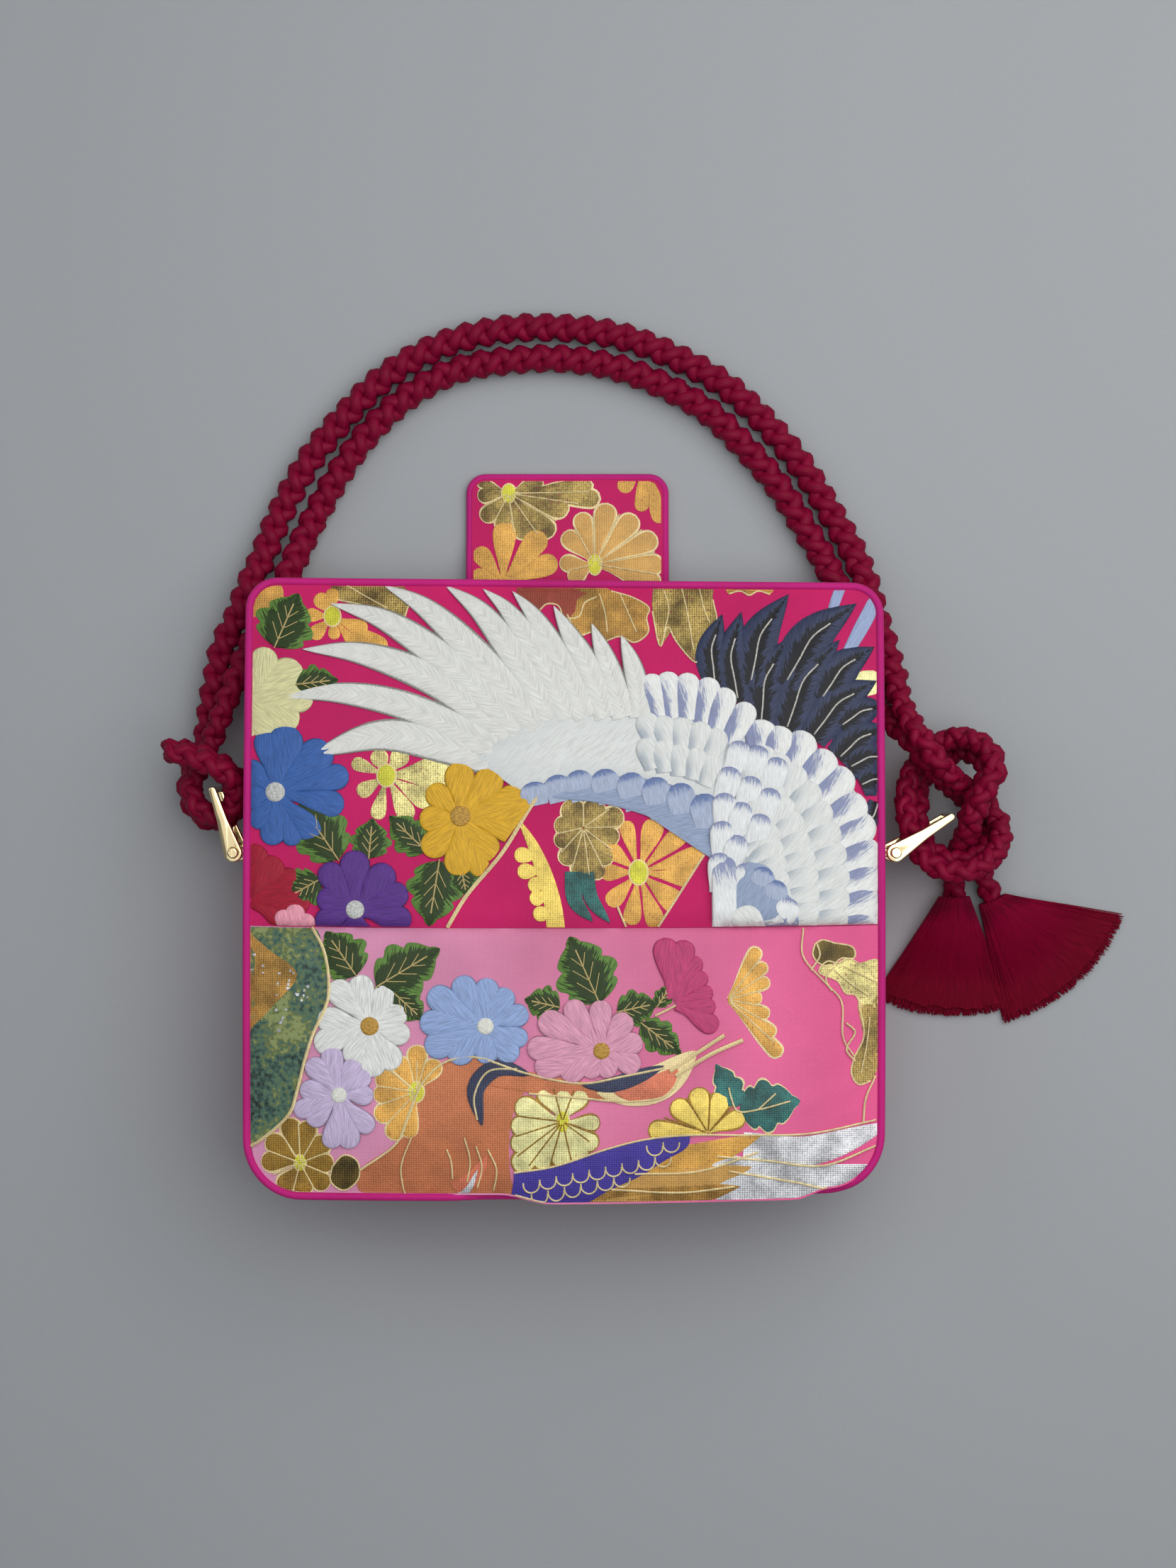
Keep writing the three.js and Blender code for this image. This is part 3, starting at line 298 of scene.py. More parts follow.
# Gold lines: their half width and places
GOLD_LINES = [
    (0.75, [(-8, 32), (-12.9, 24.2), (-21.3, 10.6), (-33.3, -3.8), (-39.7, -14.4)]),
    (0.6, [
        (-85.7, -14.6), (-82, -21.7), (-80.2, -30.9), (-80.5, -39.4), (-85.5, -50.9), (-88.2, -59.4),
        (-90.9, -70.2), (-93.5, -77.9), (-103.6, -87.1), (-107, -89),
    ]),
    (0.45, [(47.6, 10.2), (40, -1.8), (32.1, -14.2)]),
    (0.4, [(18, -7), (19.6, -11), (21, -14.2)]),
    (0.25, [(34, 100), (35.6, 94), (34, 86)]), (0.25, [(40, 101), (42, 92), (44, 80)]),
    (0.25, [(46, 101), (47.6, 94), (49.6, 89)]), (0.25, [(19, 99), (22, 92), (24.6, 86)]),
    (0.25, [(12, 99), (14, 92), (14.6, 86)]), (0.25, [(-74, 102), (-69, 99), (-60, 94)]),
    (0.25, [(92, -29), (97.6, -33.6), (104, -38)]), (0.25, [(95, -27.6), (100, -30), (106, -33)]),
    (0.25, [(104, -45), (103, -54), (101, -64)]),
    (0.3, [(81.4, -14.8), (81.2, -24), (89, -33.5), (94.3, -39.5), (95, -52.4), (98.8, -58.4)]),
    (0.35, [(84, -29), (87, -24), (86, -20)]), (0.35, [(91, -36), (89, -32), (92, -28)]),
    (0.35, [(96, -47), (99, -50), (96, -56), (99, -60)]), (0.35, [(101.8, -81), (102.6, -72.8), (106, -65)]),
    (0.7, [(36, -63.5), (44, -58), (54.4, -51.2)]), (0.75, [(38, -65), (50, -57.6), (60.8, -52.8)]),
    (0.4, [(-69.3, -97), (-57, -87.9), (-53.1, -79.4), (-48.5, -67.9), (-41.6, -60.9), (-34, -58.6), (-26, -59.2)]),
    (0.4, [(-26, -59.6), (-12, -64.4), (6, -67.6), (20, -65.2), (34, -62.4)]),
    (0.4, [(-12, -71), (6, -72.6), (22, -73.8), (35, -71.6), (39, -66), (41, -61.5)]),
    (0.35, [(-29.6, -80), (-30.6, -72), (-26, -63.6), (-16, -62.6)]),
    (0.3, [(-54, -107), (-55.5, -96), (-52, -86)]), (0.3, [(-33, -101), (-32, -94), (-34, -86)]),
    (0.3, [(-29.5, -103), (-28, -96), (-30, -89)]), (0.3, [(-24, -104), (-23, -97), (-26, -90)]),
    (0.3, [(-38, -100), (-38.5, -94), (-40, -90)]),
    (0.35, [(-17, -98), (-3.9, -96), (15, -89.8), (28, -86.6), (42.6, -85.2), (67, -85.2), (84, -84.6), (106, -80)]),
    (0.35, [(52, -92.4), (70, -94), (88, -95.6), (106, -88.8)]), (0.35, [(56, -97.5), (76, -101), (96, -105)]),
    (0.35, [(24, -98.5), (46, -97.5), (66, -91)]), (0.35, [(16, -104), (40, -105), (58, -103)]),
    (0.3, [(56, -69), (57, -73), (59, -77), (66, -76.5), (77, -73.6)]), (0.3, [(66, -76.5), (72, -71)]),
    (0.4, [(31, -44.5), (35, -42.6), (38, -41)]),
]
# Gold looks: colour, metal share, where the ground silk shows between strips, and how strong the painted highlights and
# shade in the colour are
GOLD = {
    "orange_gold": ("e0aa52", 0.3, 0.32, 0.8), "pale_gold": ("e4d88e", 0.45, 0.36, 1.5),
    "peach_gold": ("d0a158", 0.2, 0, 0.5), "olive_gold": ("a37e30", 0.35, 0.3, 1), "cream_gold": ("efe9a6", 0.25, 0.3, 0.9),
    "yellow_gold": ("f2d468", 0.3, 0.26, 0.8), "dark_gold": ("a58e50", 0.5, 0.36, 1.9),
    "brown_gold": ("b98c45", 0.4, 0.2, 1.2), "red_brown": ("98402f", 0.1, 0, 0.5), "copper": ("c4754c", 0.25, 0, 0.4),
    "silver": ("e2e3e8", 0.45, 0, 1.3), "violet": ("43369c", 0.1, 0, 0.4), "teal": ("2b6a66", 0.15, 0, 1.6),
    "olive": ("6a5826", 0.4, 0, 1.6), "red_gold": ("d9795a", 0.2, 0, 0.8), "navy_gold": ("2f3552", 0.2, 0, 0.7),
    "moss": ("3f5c45", 0.1, 0, 1), "line_gold": ("ead6a0", 0.15, 0, 0.4), "boss": ("dcd93e", 0.2, 0, 0.7),
}
# A leaf: where it starts, its tip, its width
LEAVES = [
    (-98.5, 81, -90.5, 99.2, 17.5), (-91.3, 68.2, -76.9, 69.8, 10), (-76.9, 8.6, -90.1, 28.2, 16),
    (-66.5, 9, -65.3, 22.6, 12), (-46.9, 11.4, -59.5, 23.4, 11.5), (-83.3, 1.8, -93.6, -4, 11.5),
    (-42.5, 8.2, -46.1, -14.2, 16), (-34.9, 5, -33.3, -3.4, 9), (-70.8, -30.9, -81.2, -15.9, 15),
    (-63.9, -34.7, -42.3, -21.7, 16), (-57.7, -37, -48, -46, 10), (12, -40.3, 1.8, -17.6, 18),
    (-1.5, -41.7, -13.5, -39, 10.5), (18, -43.3, 32, -40.3, 10.5), (26.3, -47.1, 39.9, -57.7, 10),
    (31.6, -41.5, 36.6, -34, 5.5),
]
# The long white feathers, from the wing's arm to the tip, with their width
PRIMARIES = [
    (((-25.3, 43.8), (-42.1, 47.8), (-62.1, 51), (-87.3, 43.8)), 11),
    (((-23.7, 47), (-54.1, 61), (-78.1, 65.4), (-96.9, 63.6)), 9.4),
    (((-18.1, 52.2), (-46.1, 70.6), (-70.1, 79), (-89.3, 80.2)), 10.4),
    (((-14.1, 53.8), (-42.1, 77.8), (-62.1, 90.6), (-79.7, 95.8)), 10.4),
    (((-8.5, 54.6), (-30.1, 78.6), (-47.7, 94.6), (-61.7, 102.2)), 10.2),
    (((-3.7, 57), (-15.7, 76.2), (-28.5, 93), (-40.5, 102)), 9.6),
    (((1.9, 57), (-8.5, 77.8), (-19.7, 93.8), (-27.7, 100.8)), 8.8),
    (((7.5, 57), (-1.3, 76.2), (-10.9, 92.2), (-17.7, 100)), 8.6),
    (((14.7, 57), (9.1, 72.2), (1.9, 85), (-3.7, 95)), 8.4),
    (((20.3, 57), (17.1, 68.2), (13.1, 79.4), (9.3, 89)), 7.8),
    (((25.9, 57), (25.1, 66.6), (22.7, 76.2), (19.3, 85)), 7.2),
]
WING_ARM = ((4, 47), [
    (-31.3, 42.6), (-20.5, 50.6), (-12.5, 57), (1.9, 61), (14, 61), (26, 61), (40, 60), (53, 56), (57, 40),
    (52, 29), (40, 33), (29.7, 35.8), (12.1, 37), (-3.9, 35.8), (-13.3, 31.8), (-23.7, 37.8),
])
BLUE_BAND = ((14, 33), [
    (-15, 32), (-11, 37), (4, 40), (20, 39.5), (34, 37.5), (46, 34), (51, 28), (50.5, 9), (47, 11.5),
    (40.9, 17), (28.1, 23.4), (12.1, 27.8), (-3.9, 29.6),
])
WING_BODY = ((78, 15), [
    (50.4, -16), (50.2, 4), (50.4, 30), (53, 50), (66, 50), (82, 47), (94, 38), (102, 26), (105, 8), (105, -16),
])
BLUE_GREY_PATCH = ((66, -4), [
    (62.3, 8), (69.4, 6), (73, -0.6), (77.7, -5.4), (79, -16), (62.3, -16), (57.6, -5),
])
BLUE_SCALLOPS = [(-11, 33), (-3.1, 35.4), (4.1, 37), (12.9, 37.4), (21.7, 36.2), (30.1, 34.6), (38.5, 32.6), (46.5, 29)]
# Rows of covering feathers: tips, where their length points, length, width
COVERTS = [
    ([(28.9, 71.8), (34.9, 72.6), (42.1, 72.2), (49.7, 70.6), (55.7, 67), (63.3, 61.8)], (40, 20), 16, 7.6),
    ([(27.3, 58.6), (33.3, 57.6), (40.1, 57), (47.3, 55.5), (53.3, 53)], (38, 20), 11, 7.4),
    ([(27.3, 50), (32.9, 49.2), (39.3, 48), (45.7, 46.6), (51.3, 44.2)], (38, 10), 11, 7),
]
EDGED_COVERTS = [
    (60.1, 49), (66.5, 47.4), (72.9, 43.4), (56.9, 40.2), (64.1, 37), (70.5, 33), (54.5, 31.4), (60.9, 28.2),
    (67.3, 24.2), (53.7, 21.8), (59.3, 17), (52.9, 11), (62.5, 7.4),
]
OUTER_TIPS = [
    (68.1, 56.2), (74.9, 53.8), (83.3, 51.8), (91.3, 45), (97.7, 38.6), (102.5, 29), (105.7, 21.8),
    (108, 12.2), (108.5, 3.4), (108, -5.4), (107, -14),
]
INNER_ENDS = ((62, 26), (66, -16))
# The navy feathers: where they leave the wing, their tip, their width
NAVY = [
    (107, 28, 102, 20, 7), (100.9, 34, 110, 36, 9), (97, 40, 111, 44, 10), (93.3, 43, 110, 53.5, 11),
    (94, 54, 110, 61, 9), (84.1, 50, 106.5, 69.5, 11.5), (87.3, 63, 105.6, 81, 10.5),
    (75.3, 52, 93.8, 83.4, 12), (74.9, 68, 99.6, 95.8, 12), (66.9, 54, 75.6, 83.5, 12),
    (63.3, 68, 76.4, 99, 11), (59.3, 62, 60.3, 93, 9.5), (51.3, 68, 53.8, 92.2, 8.6),
]


def size(name, description, millimetres):
    """A length that a user can change."""
    return bpy.props.FloatProperty(
        name=name, description=description, default=millimetres * MM, min=0, unit="LENGTH", precision=4
    )


def colour(name, description, hex_colour):
    """A colour that a user can change."""
    return bpy.props.FloatVectorProperty(
        name=name, description=description, default=linear(hex_colour), size=4, min=0, max=1, subtype="COLOR"
    )


class BagSizes(bpy.types.PropertyGroup):
    """Sizes of the padded bag, the same as the solids have."""

    width: size("Width", "Across the front, piping included", 221)
    height: size("Height", "Up the front, piping included", 210)
    taper: size("Taper", "How much narrower each side is at the foot", 2.7)
    right_shrink: size("Right shrink", "How much shorter the right side is", 1)
    bottom_bow: size("Bottom bow", "How far the bottom bows out", 1.6)
    top_corner: size("Top corner", "Radius of the two upper corners", 11)
    bottom_corner: size("Bottom corner", "Radius of the two lower corners", 20)
    depth_top: size("Depth at the top", "From the back to the front's edge seam", 27)
    depth_bows: size("Depth at the bows", "From the back to the front's edge seam", 46)
    depth_bottom: size("Depth at the foot", "From the back to the front's edge seam", 57)
    piping: size("Piping", "Diameter of the piping", 2.7)
    cloth_wall: size("Wall", "Thickness of the side strip", 2)
    back_thickness: size("Back", "Thickness of the back panel", 3)
    upper_crown: size("Upper crown", "How far the padding rises under the upper cloth", 3.2)
    lower_crown: size("Lower crown", "How far the padding rises under the lower cloth", 4.6)
    crown_run: size("Crown run", "How far in from the edge the padding is full", 30)
    edge_rise: size("Edge rise", "How far the front's edge stands over the piping's middle", 0.3)
    seam_height: size("Seam height", "From the foot to the level seam", 91)
    seam_dip: size("Seam dip", "How far the level seam pulls the padding in", 0.9)
    seam_run: size("Seam run", "How far each side of the seam dips", 5)
    roll_out: size("Foot roll", "How far the padding rolls out over the bottom seam", 3.4)
    roll_drop: size("Foot drop", "How far the padding drops where it rolls over", 0.8)
    roll_run: size("Foot roll run", "How far up the roll starts", 12)
    fold: size("Mouth fold", "How far the side strip folds in at the mouth", 23)
    bulge: size("Side bulge", "How far the side strip swells below the bows", 1.6)
    gap: size("Seam gap", "Gap that the solids keep at a seam", 0.3)
    tab_width: size("Tab width", "Width of the tab behind the front", 72)
    tab_reach: size("Tab reach", "How far the tab stands up over the top edge", 39.6)
    tab_corner: size("Tab corner", "Radius of the tab's corners", 7)
    tab_thickness: size("Tab thickness", "Thickness of the tab", 3)


class CordSizes(bpy.types.PropertyGroup):
    """Sizes of the braided cord and its tassels."""

    handle: size("Handle", "Diameter of the cord along the handle", 9.6)
    looped: size("Looped", "Diameter of the cord where it loops round the left bow", 8)
    knotted: size("Knotted", "Diameter of the cord in the knot round the right bow", 8.0)
    lobe_pitch: size("Lobe pitch", "From one lobe of the plait to the next on the same side", 7.1)
    left_fringe: size("Left fringe", "Length of the left tassel", 41.5)
    right_fringe: size("Right fringe", "Length of the right tassel", 42)
    neck: size("Neck", "Diameter of a tassel where it leaves the cord", 11)


class GiltSizes(bpy.types.PropertyGroup):
    """Sizes of the gilt bows, lugs and screws."""

    pivot_height: size("Pivot height", "From the foot to the bows' pivots", 115.6)
    pivot_out: size("Pivot out", "From the side to a bow's pivot", 4.8)
    middle: size("Middle", "Height of a bow's middle over the back", 24.5)
    inner: size("Inner width", "Between a bow's two legs", 16.6)
    leg: size("Leg", "Thickness of a leg", 2.2)
    length: size("Length", "From the pivot to the bow's far end", 24)
    eye: size("Eye", "Diameter of a leg's round end", 6.5)
    neck: size("Neck", "Width of a leg's narrow end", 2.6)
    head: size("Screw head", "Diameter of a screw's head", 3.8)
    head_rise: size("Head height", "Height of a screw's head", 1.3)
    barrel: size("Barrel", "Diameter of a lug's barrel", 5.2)
    plate_width: size("Plate width", "Width of a lug's plate up the bag", 11)
    plate_depth: size("Plate depth", "Depth of a lug's plate", 15)
    plate: size("Plate", "Thickness of a lug's plate", 1.2)
    left_angle: bpy.props.FloatProperty(
        name="Left bow", description="Direction of the left bow", default=math.radians(108.4), subtype="ANGLE"
    )
    right_angle: bpy.props.FloatProperty(
        name="Right bow", description="Direction of the right bow", default=math.radians(32.8), subtype="ANGLE"
    )


class ClothColours(bpy.types.PropertyGroup):
    """Colours of the cloths, the cord and the gilt."""

    upper: colour("Upper cloth", "Ground of the upper cloth", "c81a64")
    lower_left: colour("Lower cloth, left", "Ground of the lower cloth at its left", "d598bc")
    lower_middle: colour("Lower cloth, middle", "Ground of the lower cloth in its middle", "e088ab")
    lower_right: colour("Lower cloth, right", "Ground of the lower cloth at its right", "ec5292")
    piping: colour("Piping", "Piping round the front, the back and the tab", "c41c7c")
    lining: colour("Lining", "Lining of the bag", "a8205c")
    cord: colour("Cord", "Braided cord", "7e042f")
    # The tassels' threads darken from the cord's colour to this one toward their ends.
    fringe: colour("Fringe", "Silk of the tassels", "68041e")
    gilt: colour("Gilt", "Plated bows, lugs and screws", "e6d2a4")
    floor: colour("Floor", "Paper that the bag lies on", "a0a4a8")


class Front:
    """The shape of the padded front and of what is sewn to it, in millimetres."""

    roll_starts = (-0.2, -0.04)
    roll_stops = (0.72, 0.83)
    piping_dips = (-0.38, -0.22)
    piping_returns = (0.84, 0.95)
    level_height = 6
    roll_clearance = 0.2
    tuck = 0.9

    def __init__(self):
        bag = bpy.context.scene.bag_sizes
        for name in BagSizes.__annotations__:
            setattr(self, name, getattr(bag, name) / MM)
        self.half_width = self.width / 2
        self.half_height = self.height / 2
        self.seam_y = self.seam_height - self.half_height
        gilt = bpy.context.scene.gilt_sizes
        self.pivot_y = gilt.pivot_height / MM - self.half_height
        self.piping_radius = self.piping / 2
        self.inset = self.piping + self.gap

    def shaped(self, x, y):
        """Bends the plain outline: narrower at the foot, shorter on the right, bowed at the bottom."""
        down = (self.half_height - y) / self.height
        across = x / self.half_width
        bow = self.bottom_bow * clamp01(down) * (1 - across * across)
        return (
            x * (1 - self.taper * down / self.half_width),
            y * (1 - self.right_shrink * across / self.half_height) - bow + self.bottom_bow * 0.5 * clamp01(down),
        )

    def seam_depth(self, y):
        """Height of the front's edge seam, a smooth curve through the three depths."""
        a, b, c = self.half_height, self.pivot_y, -self.half_height
        return (
            self.depth_top * (y - b) * (y - c) / ((a - b) * (a - c))
            + self.depth_bows * (y - a) * (y - c) / ((b - a) * (b - c))
            + self.depth_bottom * (y - a) * (y - b) / ((c - a) * (c - b))
        )

    def half_width_at(self, y, inset):
        """Half the plain outline's width at a height, for an outline moved inward."""
        half = self.half_width - inset
        top = self.top_corner - inset
        bottom = self.bottom_corner - inset
        above = y - (self.half_height - inset - top)
        below = -self.half_height + inset + bottom - y
        if above > 0:
            return half - top + math.sqrt(max(0, top * top - above * above))
        if below > 0:
            return half - bottom + math.sqrt(max(0, bottom * bottom - below * below))
        return half

    def roll(self, x, y):
        """How far the foot rolls over its seam, from 0 to 1."""
        share = x / self.half_width
        edge = clamp01(1 - (y + self.half_height - self.inset) / self.roll_run)
        return smooth(*self.roll_starts, share) * (1 - smooth(*self.roll_stops, share)) * edge * edge

    def piping_drop(self, x, y):
        share = x / self.half_width
        low = -self.half_height + self.level_height
        near_bottom = 1 - smooth(low, -self.half_height + self.bottom_corner, y)
        drop = self.piping + self.roll_drop + self.roll_clearance
        return drop * smooth(*self.piping_dips, share) * (1 - smooth(*self.piping_returns, share)) * near_bottom

    def crown(self, x, y):
        """How far the padding stands up at a place on the front."""
        aside = clamp01((self.half_width_at(y, self.inset) - abs(x)) / self.crown_run)
        above = clamp01((self.half_height - self.inset - y) / self.crown_run)
        below = clamp01((y + self.half_height - self.inset) / self.crown_run)
        share = math.prod(math.sin(math.pi / 2 * t) for t in (aside, above, below))
        full = mix(self.upper_crown, self.lower_crown, smooth(self.seam_y + 14, self.seam_y - 14, y))
        near_seam = 1 - smooth(0, self.seam_run, abs(y - self.seam_y))
        stitch = 0.5 * (1 - smooth(0, 1.2, abs(y - self.seam_y)))
        return full * share - (self.seam_dip * near_seam + stitch) * math.sqrt(share)

    def pucker(self, x, y):
        """Small unevenness of the padding, with slanting creases toward the right edge and under the seam."""
        near_right = smooth(0.45, 0.85, x / self.half_width)
        under_seam = smooth(self.seam_y - 24, self.seam_y - 4, y) * smooth(self.seam_y + 1, self.seam_y - 3, y)
        crease = noise.noise((0.03 * (x + y), 0.13 * (y - 0.6 * x), 7.0)) * max(near_right, under_seam)
        return 0.12 * noise.noise((x * 0.14, y * 0.14, 2.0)) + 0.5 * crease

    def point(self, x, y, lift=0.0):
        """The place over the front where a place on its plain pattern comes to lie."""
        roll = self.roll(x, y)
        px, py = self.shaped(x, y - self.roll_out * roll)
        z = self.seam_depth(py) + self.edge_rise + self.crown(x, y) - self.roll_drop * roll
        inside = clamp01((self.half_width_at(y, self.inset) - abs(x)) / 8)
        return Vector((px, py, z + lift + inside * self.pucker(x, y)))

    def outline(self, corner_steps=10, side_steps=26):
        """Places round the plain outline with their outward direction, clockwise from the top right corner."""
        hw, hh, rt, rb = self.half_width, self.half_height, self.top_corner, self.bottom_corner
        corners = [
            (hw - rt, hh - rt, rt, 90), (hw - rb, rb - hh, rb, 0),
            (rb - hw, rb - hh, rb, -90), (rt - hw, hh - rt, rt, -180),
        ]
        found = []
        for cx, cy, radius, start in corners:
            if found:
                x0, y0, nx, ny = found[-1]
                a = math.radians(start)
                x1, y1 = cx + radius * math.cos(a), cy + radius * math.sin(a)
                for i in range(1, side_steps):
                    t = i / side_steps
                    found.append((mix(x0, x1, t), mix(y0, y1, t), nx, ny))
            for i in range(corner_steps + 1):
                a = math.radians(start - 90 * i / corner_steps)
                found.append((cx + radius * math.cos(a), cy + radius * math.sin(a), math.cos(a), math.sin(a)))
        x0, y0, nx, ny = found[-1]
        for i in range(1, side_steps):
            found.append((mix(x0, found[0][0], i / side_steps), y0, nx, ny))
        return found

    def inward(self, station, inset):
        x, y, nx, ny = station
        return self.shaped(x - nx * inset, y - ny * inset)


class MeshBook:
    """Gathers points, faces, stitch directions and looks, and makes one closed piece of them."""

    def __init__(self):
        self.points = []
        self.faces = []
        self.looks = []
        self.uvs = []
        self.rims = []

    def add(self, points, faces, uvs=None, look=0, rims=None):
        first = len(self.points)
        self.points += points
        self.uvs += uvs or [(p[0], p[1]) for p in points]
        self.rims += rims or [0.0] * len(points)
        self.faces += [tuple(first + i for i in face) for face in faces]
        self.looks += [look] * len(faces)

    def sheet(self, outer, inner, look=0, inner_look=None):
        """A closed sheet between two grids of points, each a list of rows."""
        rows, columns = len(outer), len(outer[0])
        points = [p for grid in (outer, inner) for row in grid for p in row]
        def at(layer, i, j):
            return layer * rows * columns + i * columns + j
        top, under = [], []
        for i in range(rows - 1):
            for j in range(columns - 1):
                top.append((at(0, i, j), at(0, i, j + 1), at(0, i + 1, j + 1), at(0, i + 1, j)))
                under.append((at(1, i, j), at(1, i + 1, j), at(1, i + 1, j + 1), at(1, i, j + 1)))
            last = columns - 1
            top.append((at(0, i, 0), at(0, i + 1, 0), at(1, i + 1, 0), at(1, i, 0)))
            top.append((at(0, i, last), at(1, i, last), at(1, i + 1, last), at(0, i + 1, last)))
        for j in range(columns - 1):
            last = rows - 1
            top.append((at(0, 0, j), at(1, 0, j), at(1, 0, j + 1), at(0, 0, j + 1)))
            top.append((at(0, last, j), at(0, last, j + 1), at(1, last, j + 1), at(1, last, j)))
        first = len(self.points)
        self.add(points, top, look=look)
        self.faces += [tuple(first + i for i in face) for face in under]
        self.looks += [look if inner_look is None else inner_look] * len(under)

    def tube(self, line, radius, sides, look=0, closed=False):
        """A round tube along a line; radius is a number or a function of the share of the length."""
        frames = carried_frames(line, closed)
        count = len(line)
        points, uvs, faces, rims = [], [], [], []
        run = 0.0
        for i, (place, aside, rise) in enumerate(frames):
            if i:
                run += (line[i] - line[i - 1]).length
            r = radius(i / (count - 1)) if callable(radius) else radius
            for k in range(sides):
                a = 2 * math.pi * (k + 0.5) / sides
                points.append(place + aside * (r * math.cos(a)) + rise * (r * math.sin(a)))
                uvs.append((run, abs(k / sides - 0.5) * 2 * math.pi * r))
                rims.append(i / (count - 1))
        spans = count if closed else count - 1
        for i in range(spans):
            step = (i + 1) % count
            for k in range(sides):
                turn = (k + 1) % sides
                faces.append((i * sides + k, i * sides + turn, step * sides + turn, step * sides + k))
        if not closed:
            faces.append(tuple(reversed(range(sides))))
            faces.append(tuple(range((count - 1) * sides, count * sides)))
        self.add(points, faces, uvs, look, rims)

    def patch(self, grid, uvs, rims, look):
        """A raised patch with its rim let into the cloth below it."""
        rows, columns = len(grid), len(grid[0])
        points = [p for row in grid for p in row]
        faces = [
            (i * columns + j, i * columns + j + 1, (i + 1) * columns + j + 1, (i + 1) * columns + j)
            for i in range(rows - 1) for j in range(columns - 1)
        ]
        loop = [*range(columns), *(i * columns + columns - 1 for i in range(1, rows))]
        loop += [(rows - 1) * columns + j for j in range(columns - 2, -1, -1)]
        loop += [i * columns for i in range(rows - 2, 0, -1)]
        first = len(points)
        points += [points[k] - Vector((0, 0, 0.6)) for k in loop]
        count = len(loop)
        for k in range(count):
            after = (k + 1) % count
            faces.append((loop[k], first + k, first + after, loop[after]))
        faces.append(tuple(range(first, first + count)))
        self.add(points, faces, uvs + [uvs[k] for k in loop], look, rims + [rims[k] for k in loop])

    def spread(self, grid, uvs, rims, look):
        """A patch of rings round a middle, with its rim let into the cloth below it."""
        count = len(grid[0]) - 1
        points = [grid[0][0]]
        kept_uvs, kept_rims = [uvs[0]], [rims[0]]
        for i, row in enumerate(grid[1:], 1):
            points += row[:count]
            kept_uvs += uvs[i * (count + 1) : i * (count + 1) + count]
            kept_rims += rims[i * (count + 1) : i * (count + 1) + count]
        last = len(points) - count
        points += [p - Vector((0, 0, 0.6)) for p in points[last:]]
        kept_uvs += kept_uvs[last:]
        kept_rims += kept_rims[last:]
        faces = [(0, 1 + k, 1 + (k + 1) % count) for k in range(count)]
        for i in range(len(grid) - 1):
            for k in range(count):
                a, b = 1 + i * count + k, 1 + i * count + (k + 1) % count
                faces.append((a, b, b + count, a + count))
        faces.append(tuple(range(last + count, last + 2 * count)))
        self.add(points, faces, kept_uvs, look, kept_rims)

    def make(self, name, materials, angle=50):
        """Makes the piece: faces turned outward, smooth but for sharp edges, its place in its mesh."""
        mesh = bpy.data.meshes.new(name)
        mesh.from_pydata([tuple(p * MM) for p in self.points], [], self.faces)
        layer = mesh.uv_layers.new(name="stitches")
        rim = mesh.attributes.new("rim", "FLOAT", "POINT")
        rim.data.foreach_set("value", self.rims)
        for loop in mesh.loops:
            layer.data[loop.index].uv = self.uvs[loop.vertex_index]
        for material in materials:
            mesh.materials.append(material)
        mesh.polygons.foreach_set("material_index", self.looks)
        shell = bmesh.new()
        shell.from_mesh(mesh)
        bmesh.ops.remove_doubles(shell, verts=shell.verts, dist=1e-7)
        bmesh.ops.dissolve_degenerate(shell, edges=shell.edges, dist=1e-7)
        bmesh.ops.recalc_face_normals(shell, faces=shell.faces)
        shell.to_mesh(mesh)
        shell.free()
        piece = bpy.data.objects.new(name, mesh)
        bpy.context.scene.collection.objects.link(piece)
        bpy.ops.object.select_all(action="DESELECT")
        piece.select_set(True)
        bpy.context.view_layer.objects.active = piece
        bpy.ops.object.shade_smooth_by_angle(angle=math.radians(angle))
        return piece


def carried_frames(line, closed=False):
    """Each place of a line with two directions across it, carried along without a twist."""
    count = len(line)
    frames = []
    aside = None
    for i, place in enumerate(line):
        before = line[i - 1] if i or closed else line[0]
        after = line[(i + 1) % count] if i + 1 < count or closed else line[-1]
        along = (after - before).normalized()
        if aside is None:
            up = Vector((0, 0, 1)) if abs(along.z) < 0.9 else Vector((1, 0, 0))
            aside = along.cross(up).normalized()
        aside = (aside - along * aside.dot(along)).normalized()
        frames.append((place, aside, aside.cross(along).normalized()))
    return frames


def smooth_line(points, per_span):
    """A smooth centripetal curve through points, the same as the solids follow."""
    points = [Vector(p) for p in points]
    ends = [points[0] * 2 - points[1], *points, points[-1] * 2 - points[-2]]
    line = []
    for i in range(1, len(points)):
        p0, p1, p2, p3 = ends[i - 1 : i + 3]
        d0, d1, d2 = [(b - a).length ** 0.5 for a, b in ((p0, p1), (p1, p2), (p2, p3))]
        t1 = ((p1 - p0) / d0 - (p2 - p0) / (d0 + d1) + (p2 - p1) / d1) * d1
        t2 = ((p2 - p1) / d1 - (p3 - p1) / (d1 + d2) + (p3 - p2) / d2) * d1
        for j in range(per_span):
            t = j / per_span
            line.append(
                p1 + t1 * t + (p1 * -3 + p2 * 3 - t1 * 2 - t2) * t**2 + (p1 * 2 - p2 * 2 + t1 + t2) * t**3
            )
    return [*line, points[-1]]


def evenly(line, step):
    """The same line with its points a step apart."""
    lengths = [0.0]
    for a, b in zip(line, line[1:]):
        lengths.append(lengths[-1] + (b - a).length)
    count = max(2, round(lengths[-1] / step))
    spaced, i = [], 0
    for k in range(count + 1):
        want = lengths[-1] * k / count
        while i + 2 < len(lengths) and lengths[i + 1] < want:
            i += 1
        t = (want - lengths[i]) / max(lengths[i + 1] - lengths[i], 1e-9)
        spaced.append(line[i].lerp(line[i + 1], clamp01(t)))
    return spaced, lengths[-1]


